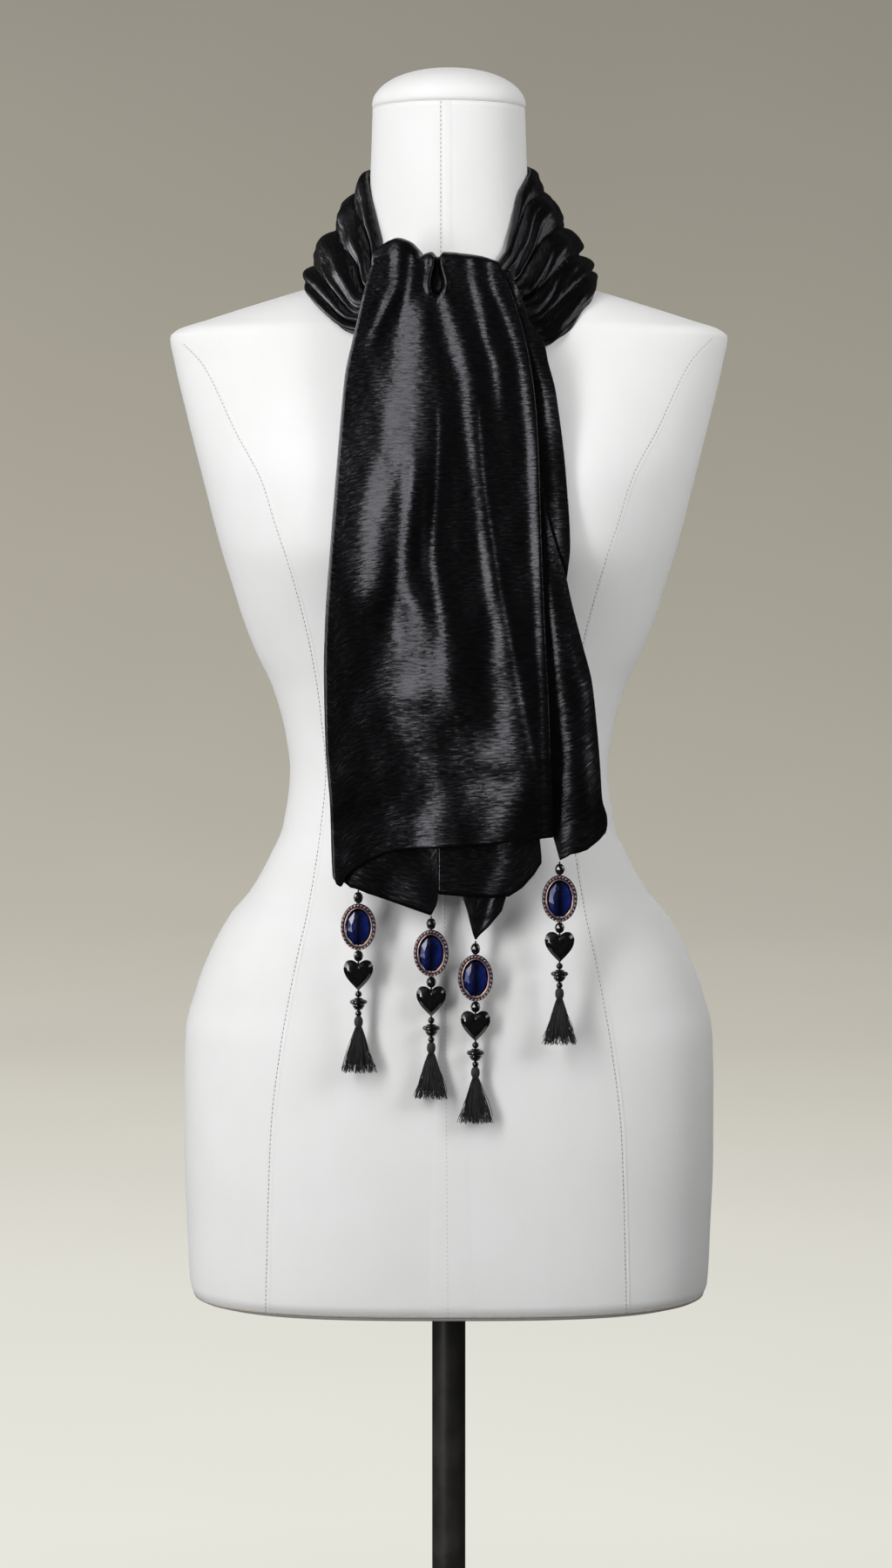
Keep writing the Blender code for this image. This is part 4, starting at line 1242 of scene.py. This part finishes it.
@dataclass(frozen=True)
class Pendant:
    """One string of beads with its tassel."""

    body: str
    jet: Finish
    enamel: Finish
    gold: Finish
    stone: Finish
    thread: Finish
    seed: int
    rim: float = 0.0030  # width of the oval rim
    wire: float = 0.0005  # radius of the gold ring
    leaf: tuple = (0.00105, 0.00056, 0.0006)  # half sizes along, across and up
    leaf_turn: float = 38
    string_radius: float = 0.0006
    threads: int = 170
    thread_radius: float = 0.00025

    def box(self, part: str) -> tuple:
        """Middle and half size of one of the pendant's nodes."""
        low, high = (np.asarray(corner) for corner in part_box(f"{self.body}_{part}"))
        return (low + high) / 2, (high - low) / 2

    def add(self, part: str, shape: tuple, finish: Finish, *nodes: str) -> bpy.types.Object:
        """Makes a piece of the pendant."""
        return add_piece(f"{self.body}_{part}", shape, finish, self.body, tuple(f"{self.body}_{n}" for n in nodes))

    def faceted_bead(self, part: str, name: str) -> None:
        """A round bead cut in lozenges: five level rings, each turned half a step.

        Args:
            part: The node that it stands for.
            name: The piece's name.
        """
        middle, half = self.box(part)
        count, steepest, rings = 8, 68, []
        for level in range(5):
            turn = turns(count, 0.5 * (level % 2))
            lift = radians(steepest * (level - 2) / 2)
            reach = half[0] * 1.02 * cos(lift) ** 0.8
            z = np.full(count, half[2] * sin(lift) / sin(radians(steepest)))
            rings.append(middle + np.stack([reach * np.cos(turn), reach * np.sin(turn), z], axis=1))
        self.add(name, gem(rings), self.jet, part).data.shade_flat()

    def round_bead(self, part: str, name: str) -> None:
        """A small smooth bead: an ellipse turned about its axis.

        Args:
            part: The node that it stands for.
            name: The piece's name.
        """
        middle, half = self.box(part)
        steepest = 1.25
        turn = np.linspace(-steepest, steepest, 11)
        profile = np.column_stack([half[0] * np.cos(turn), half[2] * np.sin(turn) / sin(steepest)])
        self.add(name, lathe(profile, 20, middle), self.jet, part)

    def oval(self, turn: Array, half: Array) -> tuple:
        """The oval along the middle of the rim.

        Args:
            turn: Angles round it.
            half: Half size of the setting.

        Returns:
            Points from its middle, and outward directions.
        """
        reach, level = half - self.rim / 2, np.zeros_like(turn)
        points = np.stack([reach[0] * np.cos(turn), level, reach[2] * np.sin(turn)], axis=1)
        return points, unit(np.stack([np.cos(turn) / half[0], level, np.sin(turn) / half[2]], axis=1))

    def setting(self) -> None:
        """The oval rim, its thin gold ring and its raised gold leaves."""
        middle, half = self.box("cabochon_frame")
        deep, forward = half[1], np.array([0, -1.0, 0])
        loop, outward = self.oval(turns(72), half)
        side, front = np.cos(turns(12)), np.sin(turns(12))
        square = np.abs(side) ** 0.75 * np.sign(side) * self.rim / 2
        points, faces = hoop(middle + loop, outward, forward, (square, front * deep * 0.86))
        self.add("rim", (points, faces[:, ::-1]), self.enamel, "cabochon_frame")

        inner = middle + loop - outward * self.rim * 0.47 + forward * deep * 0.72
        points, faces = hoop(inner, outward, forward, (side * self.wire, front * self.wire))
        self.add("gold_ring", (points, faces[:, ::-1]), self.gold)

        place, out = self.oval(turns(30, 0.5), half)
        along, lean = np.cross(out, forward), radians(self.leaf_turn)
        first = along * cos(lean) + out * sin(lean)
        second = out * cos(lean) - along * sin(lean)
        axes = np.stack([first, second, np.broadcast_to(forward, out.shape)], axis=1)
        place = middle + place + out * 0.00035
        centres = np.concatenate([place + forward * face * deep * 0.84 for face in (1, -1)])
        leaves = grains(centres, np.concatenate([axes, axes]), self.leaf)
        self.add("gold_leaves", leaves, self.gold)

    def cabochon(self) -> None:
        """The stone: ovals of changing size from the rear to the front, cut in lozenges."""
        middle, half = self.box("stone")
        count, rings = 9, []
        levels = ((0.60, -1.0), (0.97, -0.45), (1.0, 0.05), (0.84, 0.60), (0.53, 0.92), (0.19, 1.06))
        for level, (scale, forward) in enumerate(levels):
            turn = turns(count, 0.5 * (level % 2)) + pi / 2
            x, z = half[0] * scale * 1.03 * np.cos(turn), half[2] * scale * 1.03 * np.sin(turn)
            rings.append(middle + np.stack([x, np.full(count, -forward * half[1]), z], axis=1))
        points, faces = gem(rings)
        piece = self.add("cut_stone", (points, [face[::-1] for face in faces]), self.stone, "stone")
        piece.data.shade_flat()
        add_uv(piece, ((points - middle) / half)[:, ::2])

    def heart(self) -> None:
        """The heart: one outline at six depths, each (scale, place forward, lift), with a raised plate in front."""
        middle, half = self.box("heart")
        count = 40
        turn = turns(count)
        x = np.sign(np.sin(turn)) * np.abs(np.sin(turn)) ** 2.2
        z = 13 * np.cos(turn) - 4 * np.cos(2 * turn) - 1.5 * np.cos(3 * turn) - 0.5 * np.cos(4 * turn)
        z = (z - (z.max() + z.min()) / 2) / (z.max() - z.min()) * 2
        outline = np.stack([-x * half[0], 0 * x, z * half[2]], axis=1)
        rear = ((0.50, -1.0, 0.1), (0.84, -0.7, 0.05), (1.0, -0.22, 0))
        front = ((1.0, 0.18, 0), (0.76, 0.8, 0.05), (0.52, 1.04, 0.09))
        rings = [
            middle + outline * scale + np.array([0, -forward * half[1], lift * half[2]])
            for scale, forward, lift in (*rear, *front)
        ]
        piece = self.add("cut_heart", (np.stack(rings), capped(len(rings), count)), self.jet, "heart")
        piece.data.set_sharp_from_angle(angle=radians(22))

    def saucer(self) -> None:
        """A disc with a rounded edge above a stepped cone."""
        middle, half = self.box("saucer")
        profile = [(half[0] * share, rise * MM - half[2]) for share, rise in SAUCER_STEPS]
        self.add("disc_bead", lathe(profile, 40, middle), self.jet, "saucer")

    def string(self) -> None:
        """The thread through the beads, from the knot to the tassel."""
        top, bottom = self.box("thread_knot")[0], self.box("tassel_head")[0]
        foot = np.array([bottom[0], self.box("mid_bead")[0][1], bottom[2]])
        profile = [(self.string_radius, 0.0), (self.string_radius, top[2] - bottom[2])]
        self.add("bead_string", lathe(profile, 8, foot), self.thread)

    def tassel(self) -> None:
        """The bound head and the loose threads, each a thin three-sided tube along its own curve."""
        middle, half = self.box("tassel_head")
        turn = np.linspace(-1.35, 1.35, 25)
        ribs = 1 + 0.03 * np.cos(turn * 26)
        profile = np.column_stack([half[0] * 0.98 * np.cos(turn) ** 0.8 * ribs, half[2] * 1.25 * np.sin(turn)])
        self.add("bound_head", lathe(profile, 24, middle), self.thread, "tassel_head")

        centre, size = self.box("tassel_skirt")
        draw = np.random.default_rng(self.seed)
        count, steps, waist = self.threads, 8, 0.0018
        top = centre[2] + size[2] + 0.0006
        length = 2 * size[2] * (1.01 - 0.16 * draw.random(count) ** 2)
        angle = draw.uniform(0, tau, count)[:, None]
        spread = np.sqrt(draw.uniform(0.02, 1, count))
        along = np.linspace(0, 1, steps)
        open_out = along ** (0.9 + 0.35 * draw.random(count))[:, None]
        bend = 0.0010 * np.sin(along * draw.uniform(3, 8, (count, 1)) + draw.uniform(0, tau, (count, 1))) * along
        reach = waist + spread[:, None] * open_out * (size[0] * 1.06 - waist)
        x = centre[0] + np.cos(angle) * reach + bend
        y = centre[1] + np.sin(angle) * reach * size[1] / size[0] + bend[:, ::-1] * 0.5
        path = np.stack([x, y, top - length[:, None] * along], axis=-1)
        around = turns(3)
        ring = np.stack([np.cos(around), np.sin(around), 0 * around], axis=1) * self.thread_radius
        last = 3 * (steps - 1)
        strand = quads(steps, 3, closed=True)[:, ::-1].tolist() + [[0, 2, 1], [last, last + 1, last + 2]]
        faces = [[corner + k * steps * 3 for corner in face] for k in range(count) for face in strand]
        self.add("loose_threads", (path[:, :, None] + ring, faces), self.thread, "tassel_skirt")

        core = ((0.0066, 1.65), (0.0052, 1.1), (0.0030, 0.5))
        core = [(radius, top - size[2] * drop - centre[2]) for radius, drop in core]
        core.append((0.0016, top + 0.0002 - centre[2]))
        self.add("thread_core", lathe(core, 24, centre, 0.6), self.thread)

    def build(self) -> None:
        """Every piece of the pendant, from the knot down."""
        refinish(f"{self.body}_thread_knot", self.thread)
        self.faceted_bead("top_bead", "upper_cut_bead")
        self.setting()
        self.cabochon()
        self.faceted_bead("mid_bead", "lower_cut_bead")
        self.heart()
        self.round_bead("bead_upper", "upper_round_bead")
        self.saucer()
        self.round_bead("bead_lower", "lower_round_bead")
        self.string()
        self.tassel()


# ---------------------------------------------------------------- the studio


@dataclass(frozen=True)
class Lamp:
    """An oblong soft light at a place, aimed at a point, for gloss or for matt light only, or for both."""

    name: str
    place: tuple
    aim: tuple
    size: tuple
    power: float
    gloss: bool = True
    diffuse: bool = True
    spread: float = 180.0

    def build(self) -> None:
        """Links the light to the scene."""
        lamp = bpy.data.lights.new(self.name, "AREA")
        lamp.shape = "RECTANGLE"
        lamp.size, lamp.size_y = self.size
        lamp.energy = self.power
        lamp.spread = radians(self.spread)
        holder = bpy.data.objects.new(self.name, lamp)
        holder.location = self.place
        direction = holder.location - type(holder.location)(self.aim)
        holder.rotation_euler = direction.to_track_quat("Z", "Y").to_euler()
        holder.visible_camera = False
        holder.visible_glossy = self.gloss
        holder.visible_diffuse = self.diffuse
        bpy.context.scene.collection.objects.link(holder)


# A tall key from the upper left front, gleams from both sides for the velvet, and matt light all round
LAMPS = (
    Lamp("key", (-1.52, -1.95, 1.72), (0, 0, 1.25), (0.46, 2.4), 46),
    Lamp("side", (-2.3, -0.25, 1.8), (0, 0, 1.35), (0.5, 1.5), 10),
    Lamp("left_gleam", (-2.3, 0.35, 1.95), (0, 0, 1.42), (1.2, 1.2), 34, diffuse=False),
    Lamp("right_gleam", (2.3, -0.15, 2.05), (0, 0, 1.42), (0.7, 1.2), 9, diffuse=False),
    Lamp("rear", (0.6, 3.6, 2.6), (0, 0, 1.2), (2.5, 2.5), 45, gloss=False),
    Lamp("overhead", (-0.9, -1.5, 3.0), (0, 0, 1.35), (1.8, 1.2), 15, gloss=False),
    Lamp("fill", (1.15, -0.9, 1.8), (0.12, 0, 1.31), (0.8, 0.8), 2.7, gloss=False, spread=75),
)


@dataclass(frozen=True)
class Studio:
    """Floor, backdrop, lights and camera."""

    floor_radius: float = 9.0
    wall_radius: float = 12.0
    wall_height: float = 9.0
    place: tuple = (-0.002, -2.6, 1.249)
    tilt: float = 3.82
    lens: float = 83.87

    def backdrop(self) -> None:
        """A wide bowl: level floor, a quarter circle up, and a wall all round."""
        sweep = np.linspace(0, pi / 2, 24)
        rise = self.wall_radius - self.floor_radius
        floor = np.column_stack([np.linspace(0.02, self.floor_radius, 40, endpoint=False), np.zeros(40)])
        curve = np.column_stack([self.floor_radius + rise * np.sin(sweep), rise * (1 - np.cos(sweep))])
        points, faces = lathe(np.concatenate([floor, curve, [(self.wall_radius, self.wall_height)]]), 96)
        mesh = bpy.data.meshes.new("backdrop")
        mesh.from_pydata(points.reshape(-1, 3).tolist(), [], faces[:-1])
        mesh.shade_smooth()
        mesh.materials.append(self.paper())
        bowl = bpy.data.objects.new("backdrop", mesh)
        bpy.context.scene.collection.objects.link(bowl)
        bowl.visible_diffuse = False
        bowl.visible_glossy = False

    @staticmethod
    def paper() -> bpy.types.Material:
        """Pale paper near the form, lit by the lamps; further out and up a glow of the paper's khaki tint, painted
        darker as painted falloff of the light, and a little darker to the viewer's right as painted shade.
        """
        paint = Paint("backdrop_paper")
        x, y, z = paint.axes(Space.OBJECT)
        reach = paint.math("SQRT", paint.math("ADD", paint.math("MULTIPLY", x, x), paint.math("MULTIPLY", y, y)))
        travel = paint.math("ADD", reach, paint.math("MULTIPLY", z, 1.6))
        # painted falloff: the glow darkens with distance out and up, standing for light fading across the paper
        tone = paint.ramp(
            paint.math("DIVIDE", travel, 18.0),
            (0.10, (0.80, 0.79, 0.72)),
            (0.19, (0.735, 0.725, 0.655)),
            (0.36, (0.545, 0.52, 0.455)),
            (0.60, (0.44, 0.415, 0.355)),
            (0.80, (0.365, 0.34, 0.285)),
            (0.97, (0.292, 0.275, 0.232)),
        )
        # painted shade: the glow is a little darker towards the viewer's right and lighter to the left, where the key
        # stands
        painted_side_shade = paint.math("ADD", 1.0, paint.math("MULTIPLY", x, -0.035))
        mottled = paint.math("MULTIPLY", paint.noise(Space.OBJECT, (0.7, 0.7, 0.7)), 0.08)
        shade = paint.math("MULTIPLY", painted_side_shade, paint.math("ADD", 0.96, mottled))
        near = paint.ramp(paint.math("DIVIDE", reach, 4.0), (0.10, 0.55), (0.50, 1.0))
        paint.surface(Base_Color=(0.85, 0.84, 0.80), Roughness=0.9, Specular_IOR_Level=0.1)
        glow = paint.node("Emission", {"Color": paint.tinted(tone, shade)}).outputs[0]
        mixed = paint.node("MixShader", {0: near, 1: paint.shader.outputs[0], 2: glow}).outputs[0]
        paint.feed(paint.tree.nodes["Material Output"].inputs["Surface"], mixed)
        return paint.material

    @staticmethod
    def air() -> None:
        """Even light all round for matt surfaces, and for gloss a glow from the upper left."""
        world = bpy.data.worlds.new("studio_air")
        nodes = Nodes(world)
        toward = {0: nodes.coordinates(Space.GENERATED), 1: (-0.72, -0.45, 0.53)}
        facing = nodes.node("VectorMath", toward, operation="DOT_PRODUCT").outputs["Value"]
        sockets = {"Value": facing, "From Min": 0.62, "From Max": 0.98, "To Min": 0.03, "To Max": 0.45}
        glow = nodes.node("MapRange", sockets, interpolation_type="SMOOTHSTEP").outputs["Result"]
        glossy = nodes.node("LightPath", {}).outputs["Is Glossy Ray"]
        background = nodes.tree.nodes["Background"]
        nodes.feed(background.inputs["Color"], (1.0, 0.99, 0.975))
        nodes.feed(background.inputs["Strength"], nodes.node("Mix", {0: glossy, 2: 0.145, 3: glow}).outputs[0])
        bpy.context.scene.world = world

    def camera(self) -> None:
        """The camera, as the photograph was taken: level with the bust, looking a little down."""
        lens = bpy.data.cameras.new("camera")
        lens.lens = self.lens
        lens.sensor_width = 36.0
        holder = bpy.data.objects.new("camera", lens)
        holder.location = self.place
        holder.rotation_euler = (radians(90 - self.tilt), 0, 0)
        bpy.context.scene.collection.objects.link(holder)
        bpy.context.scene.camera = holder

    def build(self) -> None:
        """The whole studio."""
        self.backdrop()
        for lamp in LAMPS:
            lamp.build()
        self.air()
        self.camera()
        bpy.context.scene.view_settings.view_transform = "Standard"


# ---------------------------------------------------------------- main


def main() -> None:
    """Builds the studio, the form, the scarf and its pendants in order."""
    logging.basicConfig(level=logging.INFO, format="%(message)s")
    Studio().build()
    stitch = Enamel("beige_stitching", Slot.JERSEY, *STITCH_LOOK, grains=900.0).make()
    steel = Enamel("satin_black_steel", Slot.STEEL, *STEEL_LOOK, grains=60.0).make()
    DressForm(Jersey().make(), stitch, steel).build()
    Scarf(Velvet().make()).build()
    jet = Enamel("black_glass", Slot.JET, *JET_LOOK, coat=0.3).make()
    gold = Enamel("rose_gold", Slot.GILT, *GOLD_LOOK, metallic=1.0).make()
    enamel = Enamel("dark_blue_enamel", Slot.GILT, *ENAMEL_LOOK, coat=0.15, grains=900.0).make()
    stone, thread = Stone().make(), Thread().make()
    for number in range(1, 5):
        Pendant(f"pendant_{number}", jet, enamel, gold, stone, thread, 70 + number).build()


if __name__ == "__main__":
    main()
